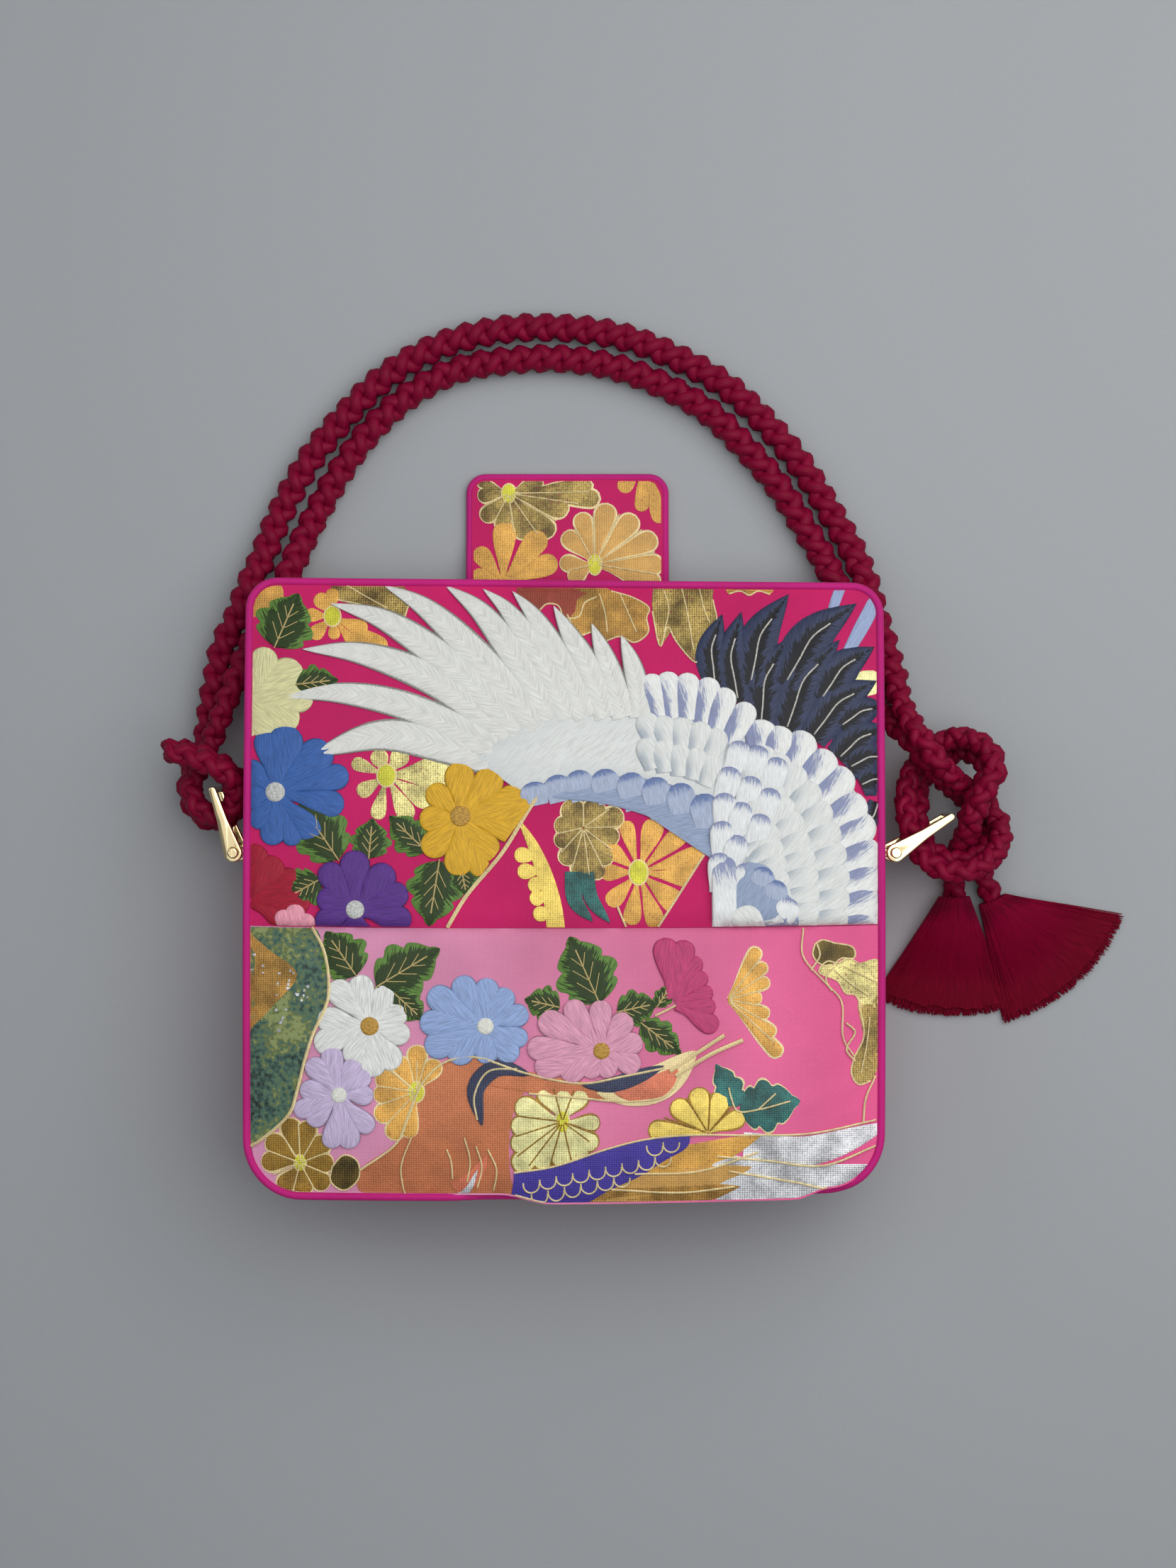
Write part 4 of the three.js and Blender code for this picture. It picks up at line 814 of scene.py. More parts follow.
def add_node(tree, kind, inputs=(), **settings):
    """Adds a node; inputs gives a socket a value, or a link from another node's output."""
    made = tree.nodes.new(kind)
    for name, value in settings.items():
        setattr(made, name, value)
    for socket, value in dict(inputs).items():
        if isinstance(value, bpy.types.NodeSocket):
            tree.links.new(value, made.inputs[socket])
        else:
            made.inputs[socket].default_value = value
    return made


def new_material(name, **settings):
    """A material with its shader's plain numbers set, its tree and the shader."""
    material = bpy.data.materials.new(name)
    material.use_nodes = True
    shader = material.node_tree.nodes["Principled BSDF"]
    for socket, value in settings.items():
        shader.inputs[socket.replace("_", " ")].default_value = value
    return material, material.node_tree, shader


def wave_scale(pitch):
    """The scale at which a Wave texture repeats at a real pitch in millimetres, on metres."""
    return 2 * math.pi / 20 / (pitch * MM)


def woven_silk(name, colour_value, pitch, relief=0.12, sheen=0.08, right=None, left=None):
    """Plain-woven silk: fine threads both ways, a soft sheen and a slightly uneven dye."""
    material, tree, shader = new_material(
        name, Roughness=0.68, Specular_IOR_Level=0.25, Sheen_Weight=sheen, Sheen_Roughness=0.4
    )
    place = add_node(tree, "ShaderNodeTexCoord").outputs["Object"]
    threads = [
        add_node(
            tree, "ShaderNodeTexWave",
            {"Vector": place, "Scale": wave_scale(pitch), "Distortion": 1.2, "Detail": 1.0, "Detail Scale": 1.5},
            bands_direction=way,
        ).outputs["Fac"]
        for way in ("X", "Y")
    ]
    weave = add_node(tree, "ShaderNodeMath", {0: threads[0], 1: threads[1]}, operation="MULTIPLY").outputs[0]
    slub = add_node(tree, "ShaderNodeTexNoise", {"Vector": place, "Scale": 260.0, "Detail": 5.0}).outputs["Fac"]
    dye = add_node(tree, "ShaderNodeTexNoise", {"Vector": place, "Scale": 26.0, "Detail": 3.0}).outputs["Fac"]
    uneven = add_node(
        tree, "ShaderNodeMapRange", {"Value": dye, "From Min": 0.3, "From Max": 0.7, "To Min": 0.86, "To Max": 1.08}
    ).outputs[0]
    ground = add_node(tree, "ShaderNodeRGB").outputs[0]
    ground.default_value = colour_value
    if right:
        across = add_node(tree, "ShaderNodeSeparateXYZ", {0: place}).outputs["X"]
        share = add_node(
            tree, "ShaderNodeMapRange", {"Value": across, "From Min": -0.108, "From Max": 0.108}
        ).outputs[0]
        ramp = add_node(tree, "ShaderNodeValToRGB", {"Fac": share})
        ramp.color_ramp.elements[0].color = left
        ramp.color_ramp.elements[1].color = right
        ramp.color_ramp.elements.new(0.5).color = colour_value
        ramp.color_ramp.interpolation = "B_SPLINE"
        ground = ramp.outputs["Color"]
    shade = add_node(
        tree, "ShaderNodeMapRange", {"Value": weave, "From Min": 0.0, "From Max": 0.5, "To Min": 0.9, "To Max": 1.04}
    ).outputs[0]
    both = add_node(tree, "ShaderNodeMath", {0: uneven, 1: shade}, operation="MULTIPLY").outputs[0]
    dyed = add_node(
        tree, "ShaderNodeVectorMath", {0: ground, "Scale": both}, operation="SCALE"
    ).outputs["Vector"]
    tree.links.new(dyed, shader.inputs["Base Color"])
    height = add_node(tree, "ShaderNodeMath", {0: weave, 1: slub}, operation="ADD").outputs[0]
    bump = add_node(tree, "ShaderNodeBump", {"Height": height, "Strength": 0.7, "Distance": relief * MM})
    tree.links.new(bump.outputs["Normal"], shader.inputs["Normal"])
    return material


def spun_silk(
    name, colour_value, pitch, stretch=12, shadow=0.62, light=1.18, relief=0.2, sheen=0.12,
    second=None, edge=0.5, blur=0.08, ragged=0.3, gloss=0.35,
):
    """Silk thread laid side by side, with a satin light; a second colour starts raggedly toward the rim, a second
    thread on some pieces and painted shade on others.
    """
    material, tree, shader = new_material(
        name, Roughness=0.52, Specular_IOR_Level=gloss, Sheen_Weight=sheen, Sheen_Roughness=0.35
    )
    stitch = add_node(tree, "ShaderNodeUVMap", uv_map="stitches").outputs["UV"]
    laid = add_node(
        tree, "ShaderNodeMapping", {"Vector": stitch, "Scale": (1 / (pitch * stretch), 1 / pitch, 1.0)}
    ).outputs[0]
    threads = add_node(
        tree, "ShaderNodeTexNoise", {"Vector": laid, "Scale": 1.0, "Detail": 3.0, "Roughness": 0.6},
        noise_dimensions="2D",
    ).outputs["Fac"]
    tone = add_node(
        tree, "ShaderNodeMapRange",
        {"Value": threads, "From Min": 0.3, "From Max": 0.7, "To Min": shadow, "To Max": light},
    ).outputs[0]
    ground = add_node(tree, "ShaderNodeRGB").outputs[0]
    ground.default_value = colour_value
    # The rim colour is a second thread colour on some pieces and painted shade on the white feathers, the petals and
    # the soft white floss.
    if second:
        from_middle = add_node(tree, "ShaderNodeAttribute", attribute_name="rim").outputs["Fac"]
        jagged = add_node(
            tree, "ShaderNodeMapRange",
            {"Value": threads, "From Min": 0.3, "From Max": 0.7, "To Min": -ragged / 2, "To Max": ragged / 2},
        ).outputs[0]
        where = add_node(tree, "ShaderNodeMath", {0: from_middle, 1: jagged}, operation="ADD").outputs[0]
        share = add_node(
            tree, "ShaderNodeMapRange", {"Value": where, "From Min": edge - blur, "From Max": edge + blur}
        ).outputs[0]
        blend = add_node(tree, "ShaderNodeMix", {"Factor": share}, data_type="RGBA")
        mixed = [socket for socket in blend.inputs if socket.type == "RGBA"]
        mixed[0].default_value = colour_value
        mixed[1].default_value = second
        ground = [socket for socket in blend.outputs if socket.type == "RGBA"][0]
    dyed = add_node(tree, "ShaderNodeVectorMath", {0: ground, "Scale": tone}, operation="SCALE").outputs["Vector"]
    tree.links.new(dyed, shader.inputs["Base Color"])
    bump = add_node(tree, "ShaderNodeBump", {"Height": threads, "Strength": 0.8, "Distance": relief * MM})
    tree.links.new(bump.outputs["Normal"], shader.inputs["Normal"])
    return material


def gold_weft(name, hex_colour, metal, gaps, contrast, pitch=0.8, gap_colour="8a1548", rough=0.38):
    """Brocade of flat gilt paper strips bound down by fine silk, so it glints in small even dashes; its colour carries
    painted highlights and shade.
    """
    material, tree, shader = new_material(name, Metallic=metal, Roughness=rough)
    place = add_node(tree, "ShaderNodeTexCoord").outputs["Object"]
    across, up = [
        add_node(
            tree, "ShaderNodeTexWave",
            {"Vector": place, "Scale": wave_scale(step), "Distortion": 0.9, "Detail": 1.0, "Detail Scale": 2.0},
            bands_direction=way,
        ).outputs["Fac"]
        for way, step in (("X", pitch), ("Y", pitch * 0.8))
    ]
    weave = add_node(tree, "ShaderNodeMath", {0: across, 1: up}, operation="MULTIPLY").outputs[0]
    # Fine noise: the foil's grain in the bump, and painted sparkle in the colour
    foil_grain_and_sparkle = add_node(tree, "ShaderNodeTexNoise", {"Vector": place, "Scale": 1100.0, "Detail": 2.0}).outputs["Fac"]
    # Large blotches: painted bright and dark patches that stand in for the metal's reflections
    blotches = add_node(tree, "ShaderNodeTexNoise", {"Vector": place, "Scale": 120.0, "Detail": 3.0}).outputs["Fac"]
    glint = add_node(tree, "ShaderNodeMath", {0: weave, 1: foil_grain_and_sparkle}, operation="ADD").outputs[0]
    # The weave's pattern and painted highlights and shade from the sparkle lighten and darken the gilt
    tone = add_node(
        tree, "ShaderNodeMapRange",
        {"Value": glint, "From Min": 0.35, "From Max": 1.2, "To Min": 1 - 0.34 * contrast,
         "To Max": 1 + 0.26 * contrast}
    ).outputs[0]
    painted_reflection_patches = add_node(
        tree, "ShaderNodeMapRange",
        {"Value": blotches, "From Min": 0.35, "From Max": 0.65, "To Min": 1 - 0.32 * contrast,
         "To Max": 1 + 0.24 * contrast}
    ).outputs[0]
    both = add_node(tree, "ShaderNodeMath", {0: tone, 1: painted_reflection_patches}, operation="MULTIPLY").outputs[0]
    gilt = add_node(
        tree, "ShaderNodeVectorMath", {0: tuple(linear(hex_colour)[:3]), "Scale": both}, operation="SCALE"
    ).outputs["Vector"]
    if gaps:
        open_share = add_node(
            tree, "ShaderNodeMapRange",
            {"Value": glint, "From Min": gaps - 0.06, "From Max": gaps + 0.06, "To Min": 1.0, "To Max": 0.0},
        ).outputs[0]
        blend = add_node(tree, "ShaderNodeMix", {"Factor": open_share}, data_type="RGBA")
        mixed = [socket for socket in blend.inputs if socket.type == "RGBA"]
        tree.links.new(gilt, mixed[0])
        mixed[1].default_value = linear(gap_colour)
        gilt = [socket for socket in blend.outputs if socket.type == "RGBA"][0]
    tree.links.new(gilt, shader.inputs["Base Color"])
    bump = add_node(tree, "ShaderNodeBump", {"Height": glint, "Strength": 0.9, "Distance": 0.12 * MM})
    tree.links.new(bump.outputs["Normal"], shader.inputs["Normal"])
    return material


def mottled_weft(name):
    """Woven moss: teal, olive and black silk mixed in short flecks with a few bright ones."""
    material, tree, shader = new_material(name, Roughness=0.6)
    place = add_node(tree, "ShaderNodeTexCoord").outputs["Object"]
    patches = add_node(tree, "ShaderNodeTexNoise", {"Vector": place, "Scale": 45.0, "Detail": 5.0, "Roughness": 0.7})
    flecks = add_node(tree, "ShaderNodeTexNoise", {"Vector": place, "Scale": 620.0, "Detail": 3.0})
    half = add_node(
        tree, "ShaderNodeMath", {0: flecks.outputs["Fac"], 1: 0.75}, operation="MULTIPLY"
    ).outputs[0]
    both = add_node(tree, "ShaderNodeMath", {0: patches.outputs["Fac"], 1: half}, operation="ADD").outputs[0]
    ramp = add_node(tree, "ShaderNodeValToRGB", {"Fac": both})
    colours = ((0.64, "141c12"), (0.77, "34524a"), (0.86, "4f6f5a"), (0.94, "626b35"), (1.0, "86925c"))
    ramp.color_ramp.elements[0].position, first = colours[0]
    ramp.color_ramp.elements[0].color = linear(first)
    ramp.color_ramp.elements[1].color = linear(colours[-1][1])
    for spot, shade in colours[1:-1]:
        ramp.color_ramp.elements.new(spot).color = linear(shade)
    tree.links.new(ramp.outputs["Color"], shader.inputs["Base Color"])
    bump = add_node(
        tree, "ShaderNodeBump", {"Height": flecks.outputs["Fac"], "Strength": 0.8, "Distance": 0.15 * MM}
    )
    tree.links.new(bump.outputs["Normal"], shader.inputs["Normal"])
    return material


def gilt_metal(name, colour_value):
    """Gilt zinc, polished before plating: sharp reflections with faint polishing scratches."""
    material, tree, shader = new_material(name, Metallic=1.0)
    place = add_node(tree, "ShaderNodeTexCoord").outputs["Object"]
    blotches = add_node(tree, "ShaderNodeTexNoise", {"Vector": place, "Scale": 180.0, "Detail": 4.0}).outputs["Fac"]
    rough = add_node(tree, "ShaderNodeMapRange", {"Value": blotches, "To Min": 0.08, "To Max": 0.16}).outputs[0]
    tree.links.new(rough, shader.inputs["Roughness"])
    tone = add_node(tree, "ShaderNodeMapRange", {"Value": blotches, "To Min": 0.97, "To Max": 1.03}).outputs[0]
    plated = add_node(
        tree, "ShaderNodeVectorMath", {0: tuple(colour_value[:3]), "Scale": tone}, operation="SCALE"
    ).outputs["Vector"]
    tree.links.new(plated, shader.inputs["Base Color"])
    return material


def finish_piece(piece, replaced=(), body=BAG):
    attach(piece, body)
    if replaced:
        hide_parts(*replaced)
    return piece


class Cloth(Front):
    """One of the two front cloths, with a way to find the spot on it that shows at a place from above."""

    sight_height = 45
    edge = 2.75
    seam_edge = 0.3

    def __init__(self, upper):
        super().__init__()
        self.low = self.seam_y + self.seam_edge if upper else self.edge - self.half_height
        self.high = self.half_height - self.edge if upper else self.seam_y - self.seam_edge

    def place(self, x, y, lift, clip=None):
        """The point over the cloth that shows at a place, kept inside the cloth's edges and a cut line."""
        if clip:
            ax, ay, bx, by = clip
            dx, dy = bx - ax, by - ay
            over = min(0, (dx * (y - ay) - dy * (x - ax)) / (dx * dx + dy * dy))
            x, y = x + dy * over, y - dx * over
        eye = HANDBAG_OT_stage
        px, py = x, y
        for _ in range(3):
            found = self.point(px, py)
            near = (eye.camera_height - self.sight_height) / (eye.camera_height - found.z)
            px += x - mix(eye.camera_x, found.x, near)
            py += y - mix(eye.camera_y, found.y, near)
        py = min(self.high, max(self.low, py))
        wide = self.half_width_at(py, self.edge)
        px = min(wide, max(-wide, px))
        inside = min(wide - abs(px), self.high - py, py - self.low)
        return self.point(px, py, lift * mix(0.25, 1, smooth(0, 1.6, inside)))


class TabCloth(Front):
    """The tab's face, laid out in true millimetres."""

    edge = 2.75

    def place(self, x, y, lift, clip=None):
        half = self.tab_width / 2 - self.edge
        top = self.half_height + self.tab_reach - self.edge
        radius = self.tab_corner - self.edge
        y = min(top, max(self.half_height - self.edge, y))
        above = max(0, y - top + radius)
        wide = half - radius + math.sqrt(radius * radius - above * above)
        x = min(wide, max(-wide, x - tab_offset))
        return Vector((x + tab_offset, y, tab_top(self, x, y) + lift))


def petal_form(t, roundness):
    """Share of the full width along a petal: narrow at its start, round at its tip."""
    end = min(0.5, roundness)
    tip = math.sqrt(max(0, 1 - (max(0, t - 1 + end) / end) ** 2))
    return mix(0.2, 1, smooth(0, 1 - end, t)) * tip


def broad_petal_form(t, roundness):
    """Share of the full width along an embroidered petal, which touches its neighbours down to the middle."""
    return max(0.5 * smooth(0, 0.05, t + 0.05) * (1 - t), petal_form(t, roundness))


def plume_form(t, roundness):
    """Share of the full width along a long feather: even, then drawn to a point."""
    return mix(1.15, 1, smooth(0, 0.5, t)) * max(0, 1 - max(0, (t - 0.4) / 0.6) ** 2) ** 0.9


def lance_form(t, roundness):
    """Share of the full width along a navy feather: widest below its middle, then drawn to a point."""
    return mix(0.75, 1, smooth(0, 0.4, t)) * max(0, 1 - max(0, (t - 0.35) / 0.65) ** 1.7)


def lens_form(t, roundness):
    """Share of the full width along a shape that is pointed at both ends."""
    return math.sin(math.pi * t) ** 0.7


def covert_form(t, roundness):
    """Share of the full width along a short feather: nearly even, with a round tip."""
    end = min(0.5, roundness)
    tip = math.sqrt(max(0, 1 - (max(0, t - 1 + end) / end) ** 2))
    return mix(0.8, 1, smooth(0, 0.6, t)) * tip


def leaf_form(t, roundness):
    """Share of the full width along a leaf with shallow lobes."""
    notch = (1 - abs(math.sin(3.3 * math.pi * t + 0.2))) ** 1.5
    return math.sin(math.pi * t**0.8) ** 0.75 * (1.08 - 0.3 * notch) * (1 - 0.3 * t**3)


def plain(t, v):
    return 0.0


def to_rim(t, v):
    return abs(v)


def to_tip(t, v):
    return t


def to_rim_and_tip(t, v):
    return abs(v) + 0.45 * t * t


# One side and the lower part of a feather: where the lavender thread shows on the white-to-lavender feathers, and where
# painted shade falls on the soft white ones.
def to_side(t, v):
    return clamp01(v + 0.45) * clamp01(1.45 - 1.25 * t)


def blade(
    book, cloth, spine, width, level, height, look=0, form=petal_form, rim=plain, barb=0, grooved=False,
    clip=None, rows=14, columns=8, sunk=1.0,
):
    """Stitches laid over a petal, feather or leaf, from the start of its spine to its tip."""
    line, length = evenly(smooth_line([(x, y, 0) for x, y in spine], 8), 0.4)
    angle = math.radians(barb)
    shift = len(book.points) * 0.137
    roundness = width / 2 / length
    grid, uvs, rims = [], [], []
    for i in range(rows + 1):
        t = mix(i / rows, math.sin(math.pi / 2 * i / rows), 0.7)
        k = t * (len(line) - 1)
        at = min(int(k), len(line) - 2)
        middle = line[at].lerp(line[at + 1], k - at)
        along = (line[at + 1] - line[at]).normalized()
        half = width / 2 * form(t, roundness)
        row = []
        for j in range(columns + 1):
            v = math.sin(math.pi / 2 * (-1 + 2 * j / columns)) if not grooved else -1 + 2 * j / columns
            aside = half * v
            if grooved:
                swell = math.sin(math.pi * min(1, 0.14 + 0.86 * abs(v))) ** 0.6
            else:
                swell = math.sqrt(1 - v**4)
            rise = level * mix(sunk, 1, smooth(0, 0.7, t)) + height * swell * math.sqrt(max(0, 1 - t**8))
            x, y = middle.x - along.y * aside, middle.y + along.x * aside
            row.append(cloth.place(x, y, rise, clip))
            run, off = length * t, abs(aside) if grooved else aside
            uvs.append((
                run * math.cos(angle) + off * math.sin(angle) + shift,
                off * math.cos(angle) - run * math.sin(angle) + shift,
            ))
            rims.append(rim(t, v))
        grid.append(row)
    book.patch(grid, uvs, rims, look)


def spread(book, cloth, centre, outline, level, height, look=0, barb=0, clip=None, rings=5, per_span=5, rim=plain):
    """A patch that spreads from its middle to an outline of places."""
    cx, cy = centre
    loop = smooth_line([(x, y, 0) for x, y in [*outline, outline[0]]], per_span)
    angle = math.radians(barb)
    grid, uvs, rims = [], [], []
    for i in range(rings + 1):
        r = math.sin(math.pi / 2 * i / rings)
        row = []
        for spot in loop:
            x, y = mix(cx, spot.x, r), mix(cy, spot.y, r)
            row.append(cloth.place(x, y, level + height * math.sqrt(1 - r**4), clip))
            uvs.append((x * math.cos(angle) + y * math.sin(angle), y * math.cos(angle) - x * math.sin(angle)))
            rims.append(rim(r, 0))
        grid.append(row)
    book.spread(grid, uvs, rims, look)


def round_spot(book, cloth, centre, wide, tall, level, height, look=0, clip=None):
    """A small round or oval boss."""
    turns = [math.pi * k / 10 for k in range(20)]
    outline = [(centre[0] + wide * math.cos(a), centre[1] + tall * math.sin(a)) for a in turns]
    spread(book, cloth, centre, outline, level, height, look, clip=clip, per_span=2)


def couch(book, cloth, places, radius, level, look=0, step=0.9, clip=None):
    """A thick thread laid on the cloth along places and stitched down."""
    line, _ = evenly(smooth_line([(x, y, 0) for x, y in places], 6), step)
    book.tube([cloth.place(p.x, p.y, level, clip) for p in line], radius, 6, look)


class HANDBAG_OT_stage(bpy.types.Operator):
    """Lays the grey paper, sets the soft lights and hangs the camera over the bag"""

    bl_idname = "handbag.stage"
    bl_label = "Stage"

    camera_height = 1000
    camera_x = 8.1
    camera_y = 34.3
    focal_length = 64.4
    film = 36

    def execute(self, context):
        colours = context.scene.bag_colours
        camera = bpy.data.cameras.new("camera")
        camera.sensor_fit = "VERTICAL"
        camera.sensor_height = self.film
        camera.lens = self.focal_length
        eye = bpy.data.objects.new("camera", camera)
        eye.location = (self.camera_x * MM, self.camera_y * MM, self.camera_height * MM)
        context.scene.collection.objects.link(eye)
        context.scene.camera = eye

        bpy.ops.object.select_all(action="DESELECT")
        bpy.ops.mesh.primitive_plane_add(size=6, location=(0, 0, 0))
        floor = context.active_object
        floor.name = "floor"
        material, tree, shader = new_material("matt_paper", Roughness=0.9)
        place = add_node(tree, "ShaderNodeTexCoord").outputs["Object"]
        fibre = add_node(tree, "ShaderNodeTexNoise", {"Vector": place, "Scale": 700.0, "Detail": 4.0}).outputs["Fac"]
        tone = add_node(tree, "ShaderNodeMapRange", {"Value": fibre, "To Min": 0.97, "To Max": 1.03}).outputs[0]
        paper = add_node(
            tree, "ShaderNodeVectorMath", {0: tuple(colours.floor[:3]), "Scale": tone}, operation="SCALE"
        ).outputs["Vector"]
        tree.links.new(paper, shader.inputs["Base Color"])
        floor.data.materials.append(material)

        self.light(context, "sky_panel", (0.32, 0.24, 0.68), (0.05, -0.02, 0.0), 0.95, 5.4, (1.0, 0.99, 0.97))
        self.light(context, "top_panel", (0.0, 0.02, 1.1), (0.0, 0.02, 0.0), 0.8, 1.6, (1.0, 1.0, 1.0))
        self.light(context, "side_panel", (-0.9, 0.4, 0.9), (0.0, 0.0, 0.03), 0.9, 2.0, (0.97, 0.98, 1.0))
        world = context.scene.world or bpy.data.worlds.new("studio")
        context.scene.world = world
        world.use_nodes = True
        background = world.node_tree.nodes["Background"]
        background.inputs["Color"].default_value = (0.93, 0.96, 1.0, 1.0)
        background.inputs["Strength"].default_value = 0.22
        context.scene.view_settings.view_transform = "Standard"
        return {"FINISHED"}

    def light(self, context, name, place, target, width, power, tint):
        lamp = bpy.data.lights.new(name, "AREA")
        lamp.size = width
        lamp.energy = power
        lamp.color = tint
        holder = bpy.data.objects.new(name, lamp)
        holder.location = place
        way = Vector(target) - Vector(place)
        holder.rotation_euler = way.to_track_quat("-Z", "Y").to_euler()
        context.scene.collection.objects.link(holder)


class HANDBAG_OT_cord(bpy.types.Operator):
    """Plaits the doubled handle cord with its two knots from four strands"""

    bl_idname = "handbag.cord"
    bl_label = "Braided cord"

    step = 1.15
    sides = 9
    strand_share = 0.25
    path_share = 0.235
    weave_share = 0.085
    change_run = 9

    def execute(self, context):
        sizes = context.scene.cord_sizes
        points = [p for part in ROUTE for p in part]
        line, length = evenly(smooth_line(points, 16), self.step)
        handle, looped, knotted, lobe = (
            v / MM for v in (sizes.handle, sizes.looped, sizes.knotted, sizes.lobe_pitch)
        )
        runs = self.handle_runs(length)
        left_part = [(a + b) / 2 for a, b in runs]
        frames = carried_frames(line)
        book = MeshBook()
        step = length / (len(line) - 1)
        for strand in range(4):
            turning = 1 if strand < 2 else -1
            start = strand * math.pi if strand < 2 else strand * math.pi + math.pi / 2
            path, thick = [], []
            for i, (place, aside, rise) in enumerate(frames):
                s = i * step
                full = max(smooth(a, a + self.change_run, s) * (1 - smooth(b - self.change_run, b, s)) for a, b in runs)
                across = mix(looped if left_part[0] < s < left_part[1] else knotted, handle, full)
                turn = turning * math.pi * s / lobe + start
                reach = across * (self.path_share + turning * self.weave_share * math.sin(2 * math.pi * s / lobe))
                spot = place + (aside * math.cos(turn) + rise * math.sin(turn)) * reach
                thick.append(across * self.strand_share)
                spot.z = max(spot.z, thick[-1])
                path.append(spot)
            book.tube(path, lambda t, r=thick: r[round(t * (len(r) - 1))], self.sides)
        colours = context.scene.bag_colours
        silk = spun_silk("reeled_silk_cord", colours.cord, 0.42, 16, 0.72, 1.15, 0.12, 0, gloss=0.12)
        cord = book.make("braided_cord", [silk], angle=80)
        nodes = ("handle_outer", "handle_inner", "left_knot", "right_knot")
        finish_piece(cord, nodes)
        HANDBAG_OT_cord.line = [tuple(p * MM) for p in line]
        HANDBAG_OT_cord.length = length * MM
        return {"FINISHED"}

    def handle_runs(self, length):
        """Where the two handle runs start and end along the whole cord."""
        spots = []
        for run in HANDLE_RUNS:
            ends = []
            for parts in (ROUTE[:run], ROUTE[: run + 1]):
                count = sum(len(part) for part in parts)
                whole = smooth_line([p for part in ROUTE for p in part][: count + 1], 16)[: count * 16 + 1]
                ends.append(evenly(whole, 5)[1])
            spots.append(ends)
        return spots


class HANDBAG_OT_tassels(bpy.types.Operator):
    """Binds the cord's two ends into tassels of loose silk"""

    bl_idname = "handbag.tassels"
    bl_label = "Tassels"

    threads = 900
    thread_radius = 0.24
    fans = {"left": (-122, -70), "right": (-77, -10)}

    def execute(self, context):
        sizes = context.scene.cord_sizes
        colours = context.scene.bag_colours
        # The threads blend from the cord's colour at the neck to the darker fringe colour toward their ends.
        silk = spun_silk(
            "loose_silk_fringe", colours.cord, 0.3, 30, 0.5, 1.3, 0.1, 0, colours.fringe, 0.5, 0.4, 0.6, gloss=0.03,
        )
        points = [Vector(p) for part in ROUTE for p in part]
        ends = {"left": (points[0], points[1]), "right": (points[-1], points[-2])}
        lengths = {"left": sizes.left_fringe / MM, "right": sizes.right_fringe / MM}
        for side, (end, before) in ends.items():
            toward = Vector((end.x - before.x, end.y - before.y, 0)).normalized()
            self.tassel(side, end, toward, lengths[side], sizes.neck / MM / 2, silk)
        return {"FINISHED"}

    def tassel(self, side, end, toward, length, radius, silk):
        """A body that fans out from the cord's end, and loose threads over it."""
        rng = random.Random(11 if side == "left" else 23)
        low, high = (math.radians(a) for a in self.fans[side])
        aside = Vector((-toward.y, toward.x, 0))
        book = MeshBook()
        self.body(book, end, toward, aside, low, high, length, radius)
        for _ in range(self.threads):
            share = rng.random()
            angle = mix(low, high, share) + rng.uniform(-0.03, 0.03)
            out = Vector((math.cos(angle), math.sin(angle), 0))
            level = rng.random()
            spot = (share - 0.5) * 1.9 * radius
            start = end + toward * rng.uniform(-0.5, 0.5) + aside * spot
            start.z = end.z + (level - 0.5) * 1.8 * math.sqrt(max(0, radius * radius - spot * spot))
            reach = length * rng.uniform(0.96, 1.02)
            drift = rng.uniform(-1, 1)
            line = []
            for k in range(11):
                t = k / 10
                bend = smooth(-0.3, 0.12, t)
                way = (toward * (1 - bend) + out * bend).normalized()
                flat = mix(start.z, 0.55 + level * 3.4 * (1 - 0.5 * t), smooth(0.1, 0.75, t))
                wave = 0.5 * drift * math.sin(3.2 * t + 6 * share) * t
                place = start + way * (reach * t) + aside * wave
                line.append(Vector((place.x, place.y, max(0.35, flat))))
            book.tube(line, self.thread_radius, 4)
        piece = book.make(f"tassel_{side}_silk", [silk], angle=80)
        return finish_piece(piece, (f"tassel_{side}",))

    def body(self, book, end, toward, aside, low, high, length, radius):
        """The mass of threads under the loose ones, ribbed along its length."""
        rows, columns = 14, 40
        top, under = [], []
        for i in range(rows + 1):
            t = i / rows
            bend = smooth(-0.3, 0.12, t)
            upper, lower = [], []
            for j in range(columns + 1):
                share = j / columns
                angle = mix(low, high, share)
                out = Vector((math.cos(angle), math.sin(angle), 0))
                way = (toward * (1 - bend) + out * bend).normalized()
                hub = end + aside * ((share - 0.5) * 1.8 * radius)
                ragged = 0.95 + 0.03 * noise.noise((share * 16, length, 0))
                place = hub + way * (length * ragged * t)
                round_edge = math.sqrt(max(0.02, 1 - (2 * share - 1) ** 2 * mix(1, 0.75, t)))
                half = mix(radius * 0.9, 1.5, smooth(0.1, 0.8, t)) * round_edge
                middle = mix(end.z, 0.5 + half, smooth(0.1, 0.75, t))
                rib = 0.22 * noise.noise((share * 42, t * 1.6, 3.1)) * smooth(0.1, 0.4, t)
                upper.append(Vector((place.x, place.y, max(0.5, middle + half + rib))))
                lower.append(Vector((place.x, place.y, max(0.3, middle - half))))
            top.append(upper)
            under.append(lower)
        first = len(book.points)
        book.sheet(top, under)
        for k in range(first, len(book.points)):
            place = book.points[k] - end
            book.uvs[k] = (place.length, math.atan2(place.y, place.x) * length)
            book.rims[k] = place.length / length


